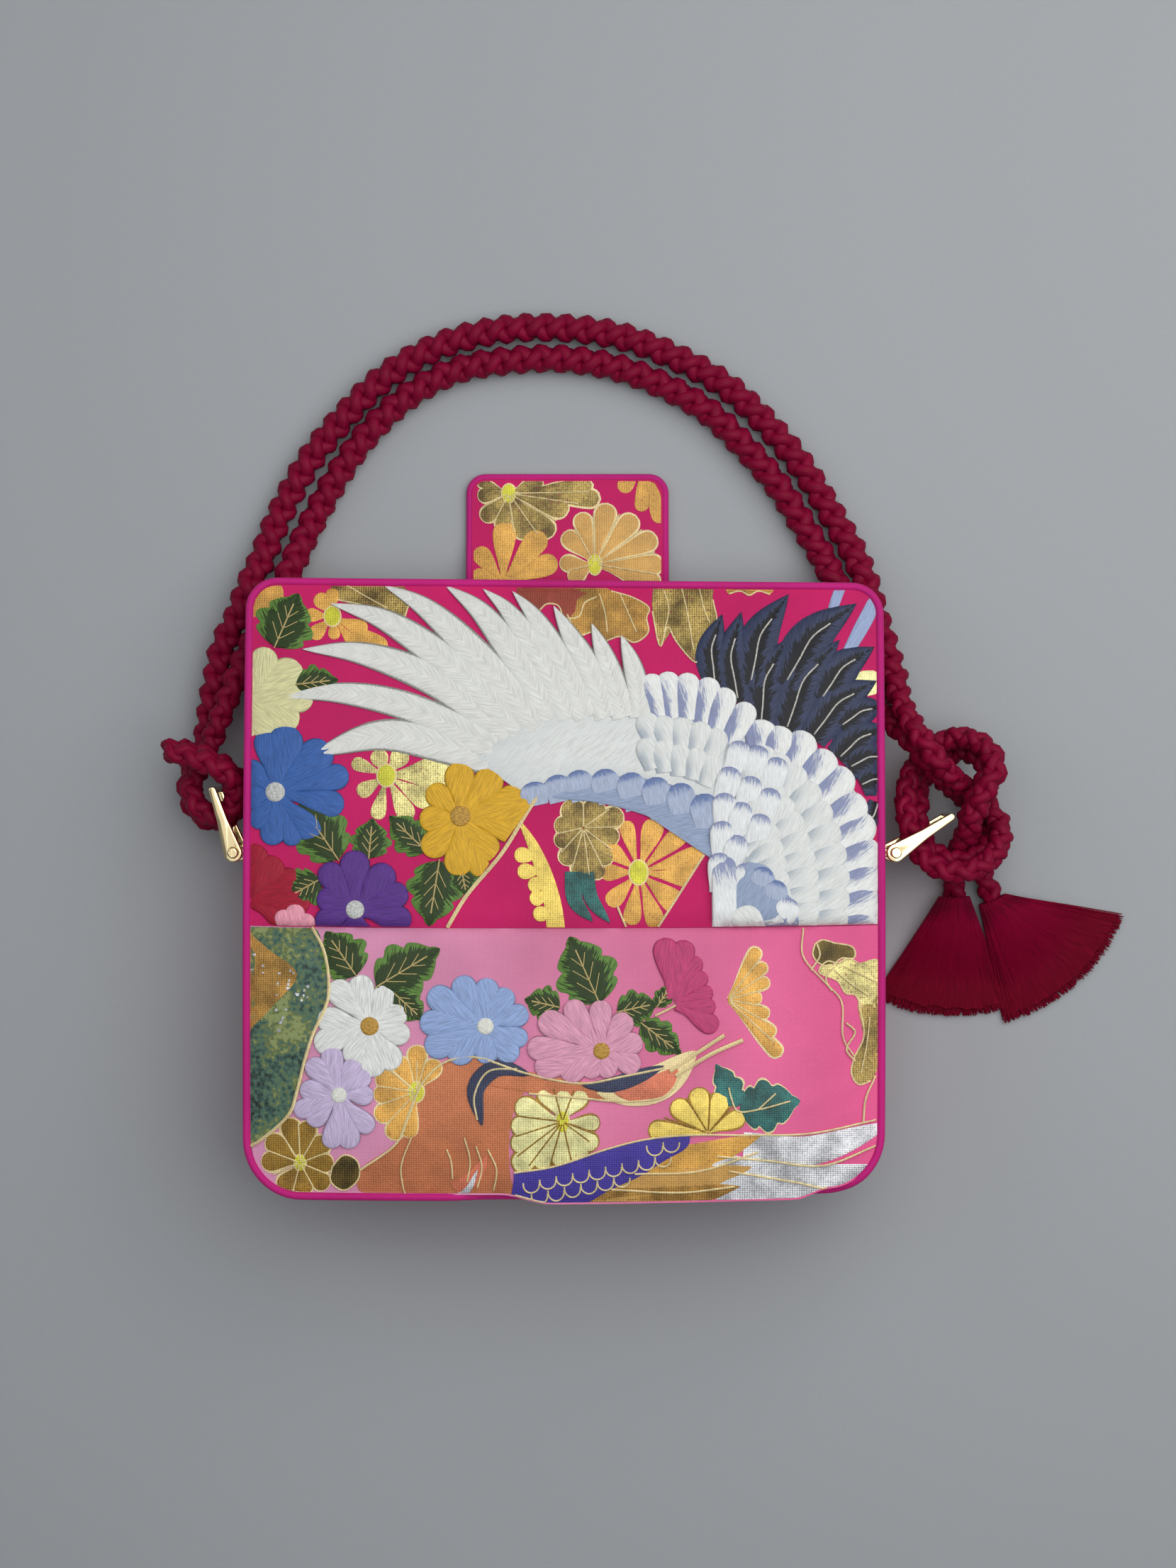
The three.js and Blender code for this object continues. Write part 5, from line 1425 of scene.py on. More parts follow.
class HANDBAG_OT_fronts(bpy.types.Operator):
    """Pads the front and sews its two silks along the level seam"""

    bl_idname = "handbag.fronts"
    bl_label = "Padded front"

    columns = 84
    rows = 64
    edge_thickness = 1.5
    padding = 2.5

    def execute(self, context):
        front = Front()
        colours = context.scene.bag_colours
        lining = woven_silk("satin_lining", colours.lining, 0.5)
        upper = woven_silk("magenta_crepe_silk", colours.upper, 0.62)
        lower = woven_silk(
            "shaded_pink_crepe_silk", colours.lower_middle, 0.62, right=colours.lower_right, left=colours.lower_left
        )
        end = front.half_height - front.inset + front.tuck
        pieces = (
            ("upper", front.seam_y + 0.04, end, upper, "upper_cloth"),
            ("lower", front.seam_y - 0.04, -end, lower, "lower_cloth"),
        )
        for name, start, stop, silk, slot in pieces:
            book = MeshBook()
            top, under = [], []
            for i in range(self.rows + 1):
                t = i / self.rows
                y = mix(start, stop, mix(t, math.sin(math.pi / 2 * t), 0.75))
                wide = front.half_width_at(y, front.inset - front.tuck)
                over, below = [], []
                for j in range(self.columns + 1):
                    x = wide * math.sin(math.pi / 2 * (-1 + 2 * j / self.columns))
                    place = front.point(x, y)
                    deep = self.edge_thickness + self.padding * clamp01(front.crown(x, y) / front.upper_crown)
                    over.append(place)
                    below.append(place - Vector((0, 0, deep)))
                top.append(over)
                under.append(below)
            book.sheet(top, under, 0, 1)
            piece = book.make(f"front_{name}_silk", [silk, lining], angle=60)
            finish_piece(piece, (f"front_{name}",))
        return {"FINISHED"}


class HANDBAG_OT_piping(bpy.types.Operator):
    """Runs the covered piping round the front, the back and the tab"""

    bl_idname = "handbag.piping"
    bl_label = "Piping"

    def execute(self, context):
        front = Front()
        silk = woven_silk("piping_silk", context.scene.bag_colours.piping, 0.5, relief=0.08)
        heights = {
            "front": lambda x, y: front.seam_depth(y) - front.piping_drop(x, y),
            "back": lambda x, y: front.piping_radius,
        }
        for name, height in heights.items():
            line = []
            for station in front.outline(14, 40):
                x, y = front.inward(station, front.piping_radius)
                line.append(Vector((x, y, height(station[0], y))))
            book = MeshBook()
            book.tube(line, front.piping_radius, 14, closed=True)
            finish_piece(book.make(f"{name}_piping_silk", [silk], angle=80), (f"{name}_piping",))
        book = MeshBook()
        line = [Vector((x, y, tab_height(front, y) + front.tab_thickness / 2)) for x, y in tab_rim(front)]
        book.tube(line, front.piping_radius, 14)
        finish_piece(book.make("tab_piping_silk", [silk], angle=80), ("tab_piping",))
        return {"FINISHED"}


tab_offset = 0.8
tab_overlap = 12
tab_sink_run = 18


def tab_height(front, y):
    """Height of the tab's underside: it lies on the back, clears the piping and sinks to the floor."""
    start = front.half_height + front.piping_radius
    return mix(front.back_thickness + front.gap, front.gap, smooth(start, start + tab_sink_run, y))


def tab_rim(front):
    """The middle line of the tab's piping, up the left side, over the top and down the right."""
    half = front.tab_width / 2 - front.piping_radius
    top = front.half_height + front.tab_reach - front.piping_radius
    radius = front.tab_corner - front.piping_radius
    foot = front.half_height - tab_overlap
    left = [(-half, mix(foot, top - radius, i / 20)) for i in range(20)]
    corner = [
        (-half + radius - radius * math.cos(a), top - radius + radius * math.sin(a))
        for a in (math.pi / 2 * i / 10 for i in range(11))
    ]
    half_rim = [*left, *corner]
    across = [(mix(-half + radius, half - radius, i / 12), top) for i in range(1, 12)]
    other = [(-x, y) for x, y in reversed(half_rim)]
    return [(x + tab_offset, y) for x, y in [*half_rim, *across, *other]]


class HANDBAG_OT_tab(bpy.types.Operator):
    """Covers the stiff tab that stands up behind the front"""

    bl_idname = "handbag.tab"
    bl_label = "Tab"

    crown = 0.5

    def execute(self, context):
        front = Front()
        silk = woven_silk("magenta_tab_silk", context.scene.bag_colours.upper, 0.62)
        book = MeshBook()
        inset = front.inset - front.tuck
        half = front.tab_width / 2 - inset
        top_y = front.half_height + front.tab_reach - inset
        radius = front.tab_corner - inset
        foot = front.half_height - tab_overlap
        rows, columns = 44, 36
        top, under = [], []
        for i in range(rows + 1):
            t = i / rows
            y = mix(foot, top_y, mix(t, math.sin(math.pi / 2 * t), 0.7))
            above = y - (top_y - radius)
            wide = half if above <= 0 else half - radius + math.sqrt(max(0, radius * radius - above * above))
            over, below = [], []
            for j in range(columns + 1):
                x = wide * math.sin(math.pi / 2 * (-1 + 2 * j / columns))
                low = tab_height(front, y)
                over.append(Vector((tab_offset + x, y, tab_top(front, x, y, self.crown))))
                below.append(Vector((tab_offset + x, y, low)))
            top.append(over)
            under.append(below)
        book.sheet(top, under)
        piece = book.make("tab_silk", [silk], angle=60)
        finish_piece(piece, ("tab",))
        return {"FINISHED"}


def tab_top(front, x, y, crown=0.5):
    """Height of the tab's face, a little crowned inside its piping."""
    half = front.tab_width / 2 - front.inset
    aside = clamp01((half - abs(x)) / 8)
    above = clamp01((front.half_height + front.tab_reach - front.inset - y) / 8)
    rise = crown * math.sin(math.pi / 2 * aside) * math.sin(math.pi / 2 * above)
    return tab_height(front, y) + front.tab_thickness + rise


class HANDBAG_OT_back(bpy.types.Operator):
    """Covers the flat back"""

    bl_idname = "handbag.back"
    bl_label = "Back"

    def execute(self, context):
        front = Front()
        silk = woven_silk("magenta_back_silk", context.scene.bag_colours.upper, 0.62)
        lining = bpy.data.materials["satin_lining"]
        book = MeshBook()
        end = front.half_height - front.inset + front.tuck
        rows, columns = 60, 50
        top, under = [], []
        for i in range(rows + 1):
            y = end * math.sin(math.pi / 2 * (-1 + 2 * i / rows))
            wide = front.half_width_at(y, front.inset - front.tuck)
            over, below = [], []
            for j in range(columns + 1):
                x = wide * math.sin(math.pi / 2 * (-1 + 2 * j / columns))
                px, py = front.shaped(x, y)
                rim = max(abs(x) / wide, abs(y) / end)
                over.append(Vector((px, py, front.back_thickness)))
                below.append(Vector((px, py, 0.5 * smooth(0.97, 1.0, rim))))
            top.append(over)
            under.append(below)
        book.sheet(top, under, 1, 0)
        piece = book.make("back_silk", [silk, lining], angle=60)
        finish_piece(piece, ("back_panel",))
        return {"FINISHED"}


class HANDBAG_OT_gusset(bpy.types.Operator):
    """Sews in the side strip that folds inward at the mouth"""

    bl_idname = "handbag.gusset"
    bl_label = "Side strip"

    inset = 0.4
    fold_power = 1.15
    bulge_run = 50
    profile = (
        (0, 0, 1), (0.5, 0.01, 1), (0.9, 0.05, 0.7), (1, 0.22, 0), (1, 0.5, 0), (1, 0.78, 0),
        (0.9, 0.95, -0.7), (0.5, 0.99, -1), (0, 1, -1),
    )

    def execute(self, context):
        front = Front()
        silk = woven_silk("magenta_side_silk", context.scene.bag_colours.upper, 0.62)
        lining = bpy.data.materials["satin_lining"]
        corner_steps = 10
        stations = front.outline(corner_steps, 26)
        stations = stations[corner_steps // 2 : len(stations) - 25 - corner_steps // 2]
        low = front.back_thickness + front.gap
        outer, inner = [], []
        for station in stations:
            x, y = station[:2]
            side = math.copysign(1, x)
            up = clamp01((y - front.pivot_y) / (front.half_height - front.pivot_y))
            fold = front.fold * up**self.fold_power
            lying = smooth(0, 4 * front.cloth_wall, fold)
            swell = front.bulge * smooth(front.pivot_y, front.pivot_y - self.bulge_run, y)
            _, edge_y = front.inward(station, self.inset)
            high = front.seam_depth(edge_y) - front.piping_drop(x, edge_y) - front.piping_radius - front.gap
            outer_row, inner_row = [], []
            for fold_share, depth, lean in self.rows():
                lean *= lying
                upright = math.sqrt(1 - lean * lean)
                out = swell * math.sin(math.pi * depth)
                z = mix(low + front.cloth_wall * lying, high - front.cloth_wall * lying, depth)
                ox, oy = front.inward(station, self.inset - out)
                ix, iy = front.inward(station, self.inset - out + front.cloth_wall * upright)
                outer_row.append(Vector((ox - side * fold * fold_share, oy, z)))
                inner_row.append(Vector((ix - side * fold * fold_share, iy, z - front.cloth_wall * lean)))
            outer.append(outer_row)
            inner.append(inner_row)
        book = MeshBook()
        book.sheet(outer, inner, 0, 1)
        piece = book.make("side_strip_silk", [silk, lining], angle=60)
        finish_piece(piece, ("gusset",))
        return {"FINISHED"}

    def rows(self):
        """The profile with three more places between each two."""
        for a, b in zip(self.profile, self.profile[1:]):
            for k in range(3):
                yield tuple(mix(p, q, k / 3) for p, q in zip(a, b))
        yield self.profile[-1]


class HANDBAG_OT_gilt(bpy.types.Operator):
    """Makes the gilt bows, their lugs and their cross-head screws"""

    bl_idname = "handbag.gilt"
    bl_label = "Bows, lugs and screws"

    clearance = 0.3
    shank = 2.0
    screw_length = 7.0

    def execute(self, context):
        front = Front()
        sizes = context.scene.gilt_sizes
        self.metal = gilt_metal("gilt_zinc", context.scene.bag_colours.gilt)
        for side, name, angle in ((-1, "left", sizes.left_angle), (1, "right", sizes.right_angle)):
            edge = front.shaped(side * front.half_width, front.pivot_y)[0]
            x = edge + side * sizes.pivot_out / MM
            pivot = Vector((x, front.pivot_y, 0))
            face = edge - side * 0.4
            self.bow(sizes, name, pivot, angle)
            self.lug(sizes, name, pivot, face, side)
            for end in (1, -1):
                self.screw(sizes, name, pivot, end)
        return {"FINISHED"}

    def settle(self, piece, name, nodes, body):
        """Puts the piece's place in its mesh and gives it its metal."""
        bpy.ops.object.select_all(action="DESELECT")
        piece.select_set(True)
        bpy.context.view_layer.objects.active = piece
        bpy.ops.object.transform_apply(location=True, rotation=True, scale=True)
        bpy.ops.object.shade_smooth_by_angle(angle=math.radians(35))
        piece.name = name
        piece.data.materials.clear()
        piece.data.materials.append(self.metal)
        finish_piece(piece, nodes, body)

    def apply_modifiers(self, piece):
        bpy.ops.object.select_all(action="DESELECT")
        piece.select_set(True)
        bpy.context.view_layer.objects.active = piece
        for modifier in list(piece.modifiers):
            bpy.ops.object.modifier_apply(modifier=modifier.name)

    def cylinder(self, radius, low, high, place, vertices=48):
        bpy.ops.object.select_all(action="DESELECT")
        bpy.ops.mesh.primitive_cylinder_add(
            vertices=vertices, radius=radius * MM, depth=(high - low) * MM,
            location=(place.x * MM, place.y * MM, (low + high) / 2 * MM),
        )
        return bpy.context.active_object

    def cut(self, piece, cutter, operation="DIFFERENCE"):
        modifier = piece.modifiers.new("cut", "BOOLEAN")
        modifier.operation = operation
        modifier.object = cutter
        modifier.solver = "EXACT"
        self.apply_modifiers(piece)
        bpy.data.objects.remove(cutter)

    def bevel(self, piece, width, segments=3, angle=35):
        modifier = piece.modifiers.new("edge", "BEVEL")
        modifier.width = width * MM
        modifier.segments = segments
        modifier.limit_method = "ANGLE"
        modifier.angle_limit = math.radians(angle)
        self.apply_modifiers(piece)

    def leg(self, sizes, low):
        """A leg's pear-shaped plate: a round face drawn out to its neck, then extruded."""
        eye, neck = sizes.eye / 2, sizes.neck / 2
        tip = sizes.length - neck
        bpy.ops.object.select_all(action="DESELECT")
        bpy.ops.mesh.primitive_circle_add(vertices=64, radius=eye, fill_type="NGON", location=(0, 0, low * MM))
        leg = bpy.context.active_object
        lean = math.asin((eye - neck) / tip)
        waist = 0.52
        for vertex in leg.data.vertices:
            if vertex.co.x > eye * math.sin(lean) * 0.98:
                share = vertex.co.y / eye
                vertex.co = Vector((tip + neck * math.sqrt(max(0, 1 - share * share)), share * neck, 0))
        bpy.ops.object.mode_set(mode="EDIT")
        bpy.ops.mesh.select_all(action="SELECT")
        bpy.ops.mesh.bisect(plane_co=(tip * waist, 0, low * MM), plane_no=(1, 0, 0))
        bpy.ops.object.mode_set(mode="OBJECT")
        for vertex in leg.data.vertices:
            if abs(vertex.co.x - tip * waist) < 1e-6:
                vertex.co.y *= 0.82
        bpy.ops.object.mode_set(mode="EDIT")
        bpy.ops.mesh.select_all(action="SELECT")
        bpy.ops.mesh.extrude_region_move(TRANSFORM_OT_translate={"value": (0, 0, sizes.leg)})
        bpy.ops.mesh.select_all(action="SELECT")
        bpy.ops.mesh.normals_make_consistent(inside=False)
        bpy.ops.object.mode_set(mode="OBJECT")
        return leg

    def bow(self, sizes, name, pivot, angle):
        inner, leg, middle = (v / MM for v in (sizes.inner, sizes.leg, sizes.middle))
        high, low = middle + inner / 2, middle - inner / 2
        parts = [self.leg(sizes, low - leg), self.leg(sizes, high)]
        hole = self.shank / 2 + self.clearance
        for part in parts:
            self.cut(part, self.cylinder(hole, low - 2 * leg, high + 2 * leg, Vector((0, 0, 0)), 32))
            self.bevel(part, 0.45, 3, 40)
        tip = (sizes.length - sizes.neck / 2) / MM
        post = self.cylinder(sizes.neck / MM / 2 * 0.98, low - leg * 0.6, high + leg * 0.6, Vector((tip, 0, 0)), 32)
        self.bevel(post, 0.3)
        bpy.ops.object.select_all(action="DESELECT")
        for part in (*parts, post):
            part.select_set(True)
        bpy.context.view_layer.objects.active = parts[0]
        bpy.ops.object.join()
        bow = parts[0]
        bow.data.transform(Matrix.Translation(bow.location))
        bow.location = (0, 0, 0)
        bow.data.transform(Matrix.Translation(pivot * MM) @ Matrix.Rotation(angle, 4, "Z"))
        self.settle(bow, f"{name}_gilt_bow", (f"{name}_bow",), f"{name}_bow")

    def lug(self, sizes, name, pivot, face, side):
        middle, depth, barrel = (v / MM for v in (sizes.middle, sizes.plate_depth, sizes.barrel))
        plate_low = face + side * self.clearance
        thick = sizes.plate / MM
        bpy.ops.object.select_all(action="DESELECT")
        bpy.ops.mesh.primitive_cube_add(
            size=1, location=((plate_low + side * thick / 2) * MM, pivot.y * MM, middle * MM),
            scale=(thick * MM, sizes.plate_width, depth * MM),
        )
        plate = bpy.context.active_object
        bpy.ops.object.transform_apply(location=False, rotation=False, scale=True)
        self.bevel(plate, 0.4)
        length = sizes.inner / MM - 2 * self.clearance
        reach = abs(pivot.x - plate_low)
        bpy.ops.object.select_all(action="DESELECT")
        bpy.ops.mesh.primitive_cube_add(
            size=1, location=((pivot.x + plate_low) / 2 * MM, pivot.y * MM, middle * MM),
            scale=(reach * MM, 2.6 * MM, length * 0.8 * MM),
        )
        web = bpy.context.active_object
        bpy.ops.object.transform_apply(location=False, rotation=False, scale=True)
        self.bevel(web, 0.3)
        post = self.cylinder(barrel / 2, middle - length / 2, middle + length / 2, pivot)
        self.bevel(post, 0.3)
        hole = self.shank / 2 + self.clearance
        self.cut(post, self.cylinder(hole, middle - length, middle + length, pivot, 32))
        bpy.ops.object.select_all(action="DESELECT")
        for part in (plate, web, post):
            part.select_set(True)
        bpy.context.view_layer.objects.active = plate
        bpy.ops.object.join()
        self.settle(plate, f"{name}_gilt_lug", (f"{name}_lug",), BAG)

    def screw(self, sizes, name, pivot, end):
        """A cross-head screw, its head outward at one end of the pivot."""
        middle = sizes.middle / MM
        seat = middle + end * (sizes.inner / MM / 2 + sizes.leg / MM + self.clearance)
        head, rise = sizes.head / MM / 2, sizes.head_rise / MM
        stem = self.cylinder(self.shank / 2, *sorted((seat - end * self.screw_length, seat + end * 0.2)), pivot, 24)
        self.bevel(stem, 0.3)
        cap = self.cylinder(head, *sorted((seat, seat + end * rise)), pivot, 48)
        self.bevel(cap, 0.45, 4)
        for turn in (0, 1):
            wide = (head * 1.3, 0.55) if turn else (0.55, head * 1.3)
            bpy.ops.object.select_all(action="DESELECT")
            bpy.ops.mesh.primitive_cube_add(
                size=1, location=(pivot.x * MM, pivot.y * MM, (seat + end * rise) * MM),
                scale=(wide[0] * MM, wide[1] * MM, 1.2 * MM),
            )
            bar = bpy.context.active_object
            bpy.ops.object.transform_apply(location=False, rotation=False, scale=True)
            self.cut(cap, bar)
        bpy.ops.object.select_all(action="DESELECT")
        cap.select_set(True)
        stem.select_set(True)
        bpy.context.view_layer.objects.active = cap
        bpy.ops.object.join()
        place = "front" if end > 0 else "back"
        self.settle(cap, f"{name}_{place}_gilt_screw", (f"{name}_screw_{place}",), BAG)


class HANDBAG_OT_wing(bpy.types.Operator):
    """Embroiders the white wing: long feathers, covering feathers and its blue lower edge"""

    bl_idname = "handbag.wing"
    bl_label = "White wing"

    def execute(self, context):
        cloth = Cloth(True)
        book = MeshBook()
        white, shaded, blue, edged, soft, hatched = range(6)
        for k, (spine, width) in enumerate(PRIMARIES):
            blade(
                book, cloth, spine, width * 1.06, 0.3 + 0.07 * k, 0.85, white, plume_form, to_rim, 32, True,
                rows=30, columns=12,
            )
        spread(book, cloth, *WING_BODY, 0.3, 0.3, soft, 70, rings=6)
        spread(book, cloth, *BLUE_BAND, 0.6, 0.35, blue, 8, rings=6)
        # The arm greys a little toward its rim: painted shade.
        spread(book, cloth, *WING_ARM, 0.95, 0.35, soft, 40, rings=8, rim=lambda r, _: 0.2 + 0.35 * r)
        for k, (x, y) in enumerate(BLUE_SCALLOPS):
            run = mix(6, 14, k / (len(BLUE_SCALLOPS) - 1))
            start = (x + run * 0.3, y - run)
            blade(book, cloth, (start, (x, y + 2)), 9.8, 1.4, 0.12, hatched, covert_form, to_tip, rows=12, sunk=0.2)
        for row, (tips, toward, length, width) in reversed(list(enumerate(COVERTS))):
            for k, (x, y) in enumerate(reversed(tips)):
                way = (Vector(toward) - Vector((x, y))).normalized() * length
                start = (x + way.x, y + way.y)
                blade(
                    book, cloth, (start, (x, y)), width * 1.12, 1.25 + 0.2 * row + 0.06 * (k % 2), 0.6,
                    shaded if row == 0 else soft, covert_form, to_side, 20, sunk=0.7,
                )
        self.outer(book, cloth, soft, shaded)
        for k, (x, y) in enumerate(EDGED_COVERTS):
            lean = 4 if x > 56 else 0.2
            blade(
                book, cloth, ((x - lean, y - 13.5), (x - lean / 3, y - 6), (x, y)), 8.2, 2.1 + 0.05 * (k % 3), 0.6,
                edged, covert_form, to_tip, 8, sunk=0.4,
            )
        spread(book, cloth, *BLUE_GREY_PATCH, 2.5, 0.3, blue, 60, rings=6)
        for x, y, look in ((77, -4.5, edged), (73, 1.5, hatched), (68.5, 6, hatched)):
            blade(book, cloth, ((x - 3, y - 9), (x, y)), 8.4, 2.7, 0.4, look, covert_form, to_tip, 14, sunk=0.8)
        blade(book, cloth, ((54.6, -30), (54.6, -6), (54.2, 10)), 8.4, 2.4, 0.6, edged, covert_form, to_tip, 10)
        blade(book, cloth, ((68, -30), (60.5, -7)), 10.5, 2.7, 0.5, soft, covert_form, barb=20)
        threads = [
            # The white feathers turn grey at their rims: painted shade in the gaps where one feather overlaps the next.
            spun_silk("white_silk_floss", linear("e3e4e0"), 0.45, 16, 0.8, 1.05, 0.35, second=linear("94958f"),
                      edge=0.87, blur=0.04, ragged=0.08),
            spun_silk("white_to_lavender_floss", linear("e9ebe9"), 0.5, 9, 0.82, 1.06, 0.3,
                      second=linear("8a92b4"), edge=0.46, blur=0.14, ragged=0.5),
            spun_silk("pale_blue_floss", linear("93a2bf"), 0.5, 9, 0.8, 1.1, 0.3),
            spun_silk("lavender_edged_floss", linear("e6e9ea"), 0.5, 9, 0.84, 1.06, 0.3,
                      second=linear("858fb4"), edge=0.84, blur=0.07, ragged=0.22),
            # The soft white floss turns grey-blue on one side and the lower part of each covering feather and toward
            # the arm's rim: painted shade that sets the rows apart.
            spun_silk("soft_white_floss", linear("e0e3e1"), 0.5, 12, 0.82, 1.06, 0.35, second=linear("a9b3bd"),
                      edge=0.72, blur=0.3, ragged=0.5),
            spun_silk("blue_arched_floss", linear("a9b5ce"), 0.5, 9, 0.8, 1.1, 0.3, second=linear("6478a8"),
                      edge=0.82, blur=0.06, ragged=0.2),
        ]
        finish_piece(book.make("white_wing", threads))
        return {"FINISHED"}

    def outer(self, book, cloth, soft, shaded):
        """Rows of round feathers from the wing's outer edge inward."""
        start, end = INNER_ENDS
        for share, look, level in ((1, shaded, 1.0), (0.74, soft, 1.2), (0.5, soft, 1.4), (0.28, soft, 1.6)):
            tips = list(OUTER_TIPS)
            if share < 1:
                tips = [
                    ((a[0] + b[0]) / 2, (a[1] + b[1]) / 2) for a, b in zip(tips, tips[1:])
                ] if share in (0.74, 0.28) else tips
            count = len(tips)
            for k in reversed(range(count)):
                t = k / (count - 1)
                root = Vector((mix(start[0], end[0], t), mix(start[1], end[1], t)))
                tip = root.lerp(Vector(tips[k]), share)
                inner = root.lerp(Vector(tips[k]), share - 0.34)
                blade(
                    book, cloth, (tuple(inner), tuple(tip)), 11.5 * mix(0.62, 1, share), level + 0.05 * (k % 2),
                    0.75, look, covert_form, to_side, 22, rows=12, sunk=0.5,
                )


class HANDBAG_OT_navy(bpy.types.Operator):
    """Embroiders the navy feathers with black hearts and silver quills"""

    bl_idname = "handbag.navy"
    bl_label = "Navy feathers"

    def execute(self, context):
        cloth = Cloth(True)
        book = MeshBook()
        for k, (x0, y0, x1, y1, width) in enumerate(NAVY):
            bend = (-(y1 - y0) * 0.1, (x1 - x0) * 0.1)
            middle = ((x0 + x1) / 2 + bend[0], (y0 + y1) / 2 + bend[1])
            blade(
                book, cloth, ((x0, y0), middle, (x1, y1)), width * 1.28, 0.25 + 0.05 * (k % 3), 0.8, 0, lance_form,
                to_rim_and_tip, 40, True, rows=26, columns=12,
            )
            quill = [
                (mix(x0, middle[0], t), mix(y0, middle[1], t)) for t in (0.1, 0.5, 1)
            ] + [((middle[0] * 0.6 + x1 * 0.4), (middle[1] * 0.6 + y1 * 0.4))]
            couch(book, cloth, quill, 0.3, 0.85, 1)
        for width, spine in ((3.6, ((90, 90), (95, 104))), (5, ((96, 78), (106.5, 97.5)))):
            blade(book, cloth, spine, width, 0.1, 0.3, 2, covert_form)
        threads = [
            spun_silk("black_to_navy_floss", linear("14151c"), 0.5, 9, 0.7, 1.2, 0.25, second=linear("323a56"),
                      edge=0.5, blur=0.03, ragged=0.4),
            spun_silk("silver_thread", linear("cfccc4"), 0.35, 3, 0.5, 1.2, 0.2),
            spun_silk("pale_blue_ribbon_floss", linear("98a8cc"), 0.5, 9, 0.8, 1.1, 0.2),
        ]
        finish_piece(book.make("navy_feathers", threads))
        return {"FINISHED"}


class HANDBAG_OT_flowers(bpy.types.Operator):
    """Embroiders the chrysanthemums petal by petal, with a couched boss in most of them"""

    bl_idname = "handbag.flowers"
    bl_label = "Embroidered flowers"

    def execute(self, context):
        book = MeshBook()
        looks = list(FLOWERS)
        bosses = {"silver": len(looks), "gold": len(looks) + 1, "silk": len(looks) + 2}
        for name, (centre, disc, boss, order, clip, petals) in FLOWERS.items():
            cloth = Cloth(petals[0][1] > -14)
            level = 0.15 + 0.22 * order
            for k, (x, y, width) in enumerate(petals):
                start = Vector(centre).lerp(Vector((x, y)), 0.08)
                blade(
                    book, cloth, (tuple(start), (x, y)), width * 1.04, level + 0.05 * (k % 2), 0.62,
                    looks.index(name), broad_petal_form, to_rim, 18 if k % 2 else -14, clip=clip,
                )
            if disc:
                round_spot(book, cloth, centre, disc, disc, level + 0.5, 0.75, bosses[boss])
        # Each petal darkens at its rim to 0.45 of its thread colour: painted shade in the creases between petals.
        threads = [
            spun_silk(
                f"{name}_floss", linear(THREADS[name]), 0.45, 12, 0.72, 1.14, 0.3,
                second=(*(0.45 * c for c in linear(THREADS[name])[:3]), 1), edge=0.94, blur=0.04, ragged=0.1,
            )
            for name in looks
        ]
        threads += [
            spun_silk("silver_boss_thread", linear("c9cbc8"), 0.5, 2, 0.6, 1.2, 0.3),
            spun_silk("gold_boss_thread", linear("bf9440"), 0.5, 2, 0.55, 1.25, 0.3),
            spun_silk("white_boss_floss", linear("e4e6dd"), 0.5, 2, 0.75, 1.1, 0.3),
        ]
        finish_piece(book.make("embroidered_flowers", threads))
        return {"FINISHED"}


class HANDBAG_OT_leaves(bpy.types.Operator):
    """Embroiders the green leaves with gold veins"""

    bl_idname = "handbag.leaves"
    bl_label = "Embroidered leaves"

    veins = ((0.14, 0.4, 0.46), (0.34, 0.36, 0.42), (0.54, 0.3, 0.28))

    def execute(self, context):
        book = MeshBook()
        for x0, y0, x1, y1, width in LEAVES:
            cloth = Cloth((y0 + y1) / 2 > -14)
            start, tip = Vector((x0, y0)), Vector((x1, y1))
            along = tip - start
            aside = Vector((-along.y, along.x)).normalized() * width / 2
            blade(
                book, cloth, (tuple(start), tuple(tip)), width * 1.18, 0.12, 0.7, 0, leaf_form, to_rim, 48, True,
                rows=36, columns=12,
            )
            couch(book, cloth, [tuple(start + along * t) for t in (-0.02, 0.4, 0.8)], 0.28, 0.6, 1)
            for from_share, run, out in self.veins:
                for side in (-1, 1):
                    root = start + along * from_share
                    end = root + along * run * 0.6 + aside * (side * out)
                    couch(book, cloth, [tuple(root), tuple(root.lerp(end, 0.5)), tuple(end)], 0.16, 0.8, 1)
        threads = [
            spun_silk("two_green_floss", linear("283c14"), 0.5, 9, 0.7, 1.2, 0.3, second=linear("5c8238"),
                      edge=0.7, blur=0.03, ragged=0.42),
            spun_silk("gold_vein_thread", linear("c9b479"), 0.3, 3, 0.6, 1.2, 0.2),
        ]
        finish_piece(book.make("embroidered_leaves", threads))
        return {"FINISHED"}


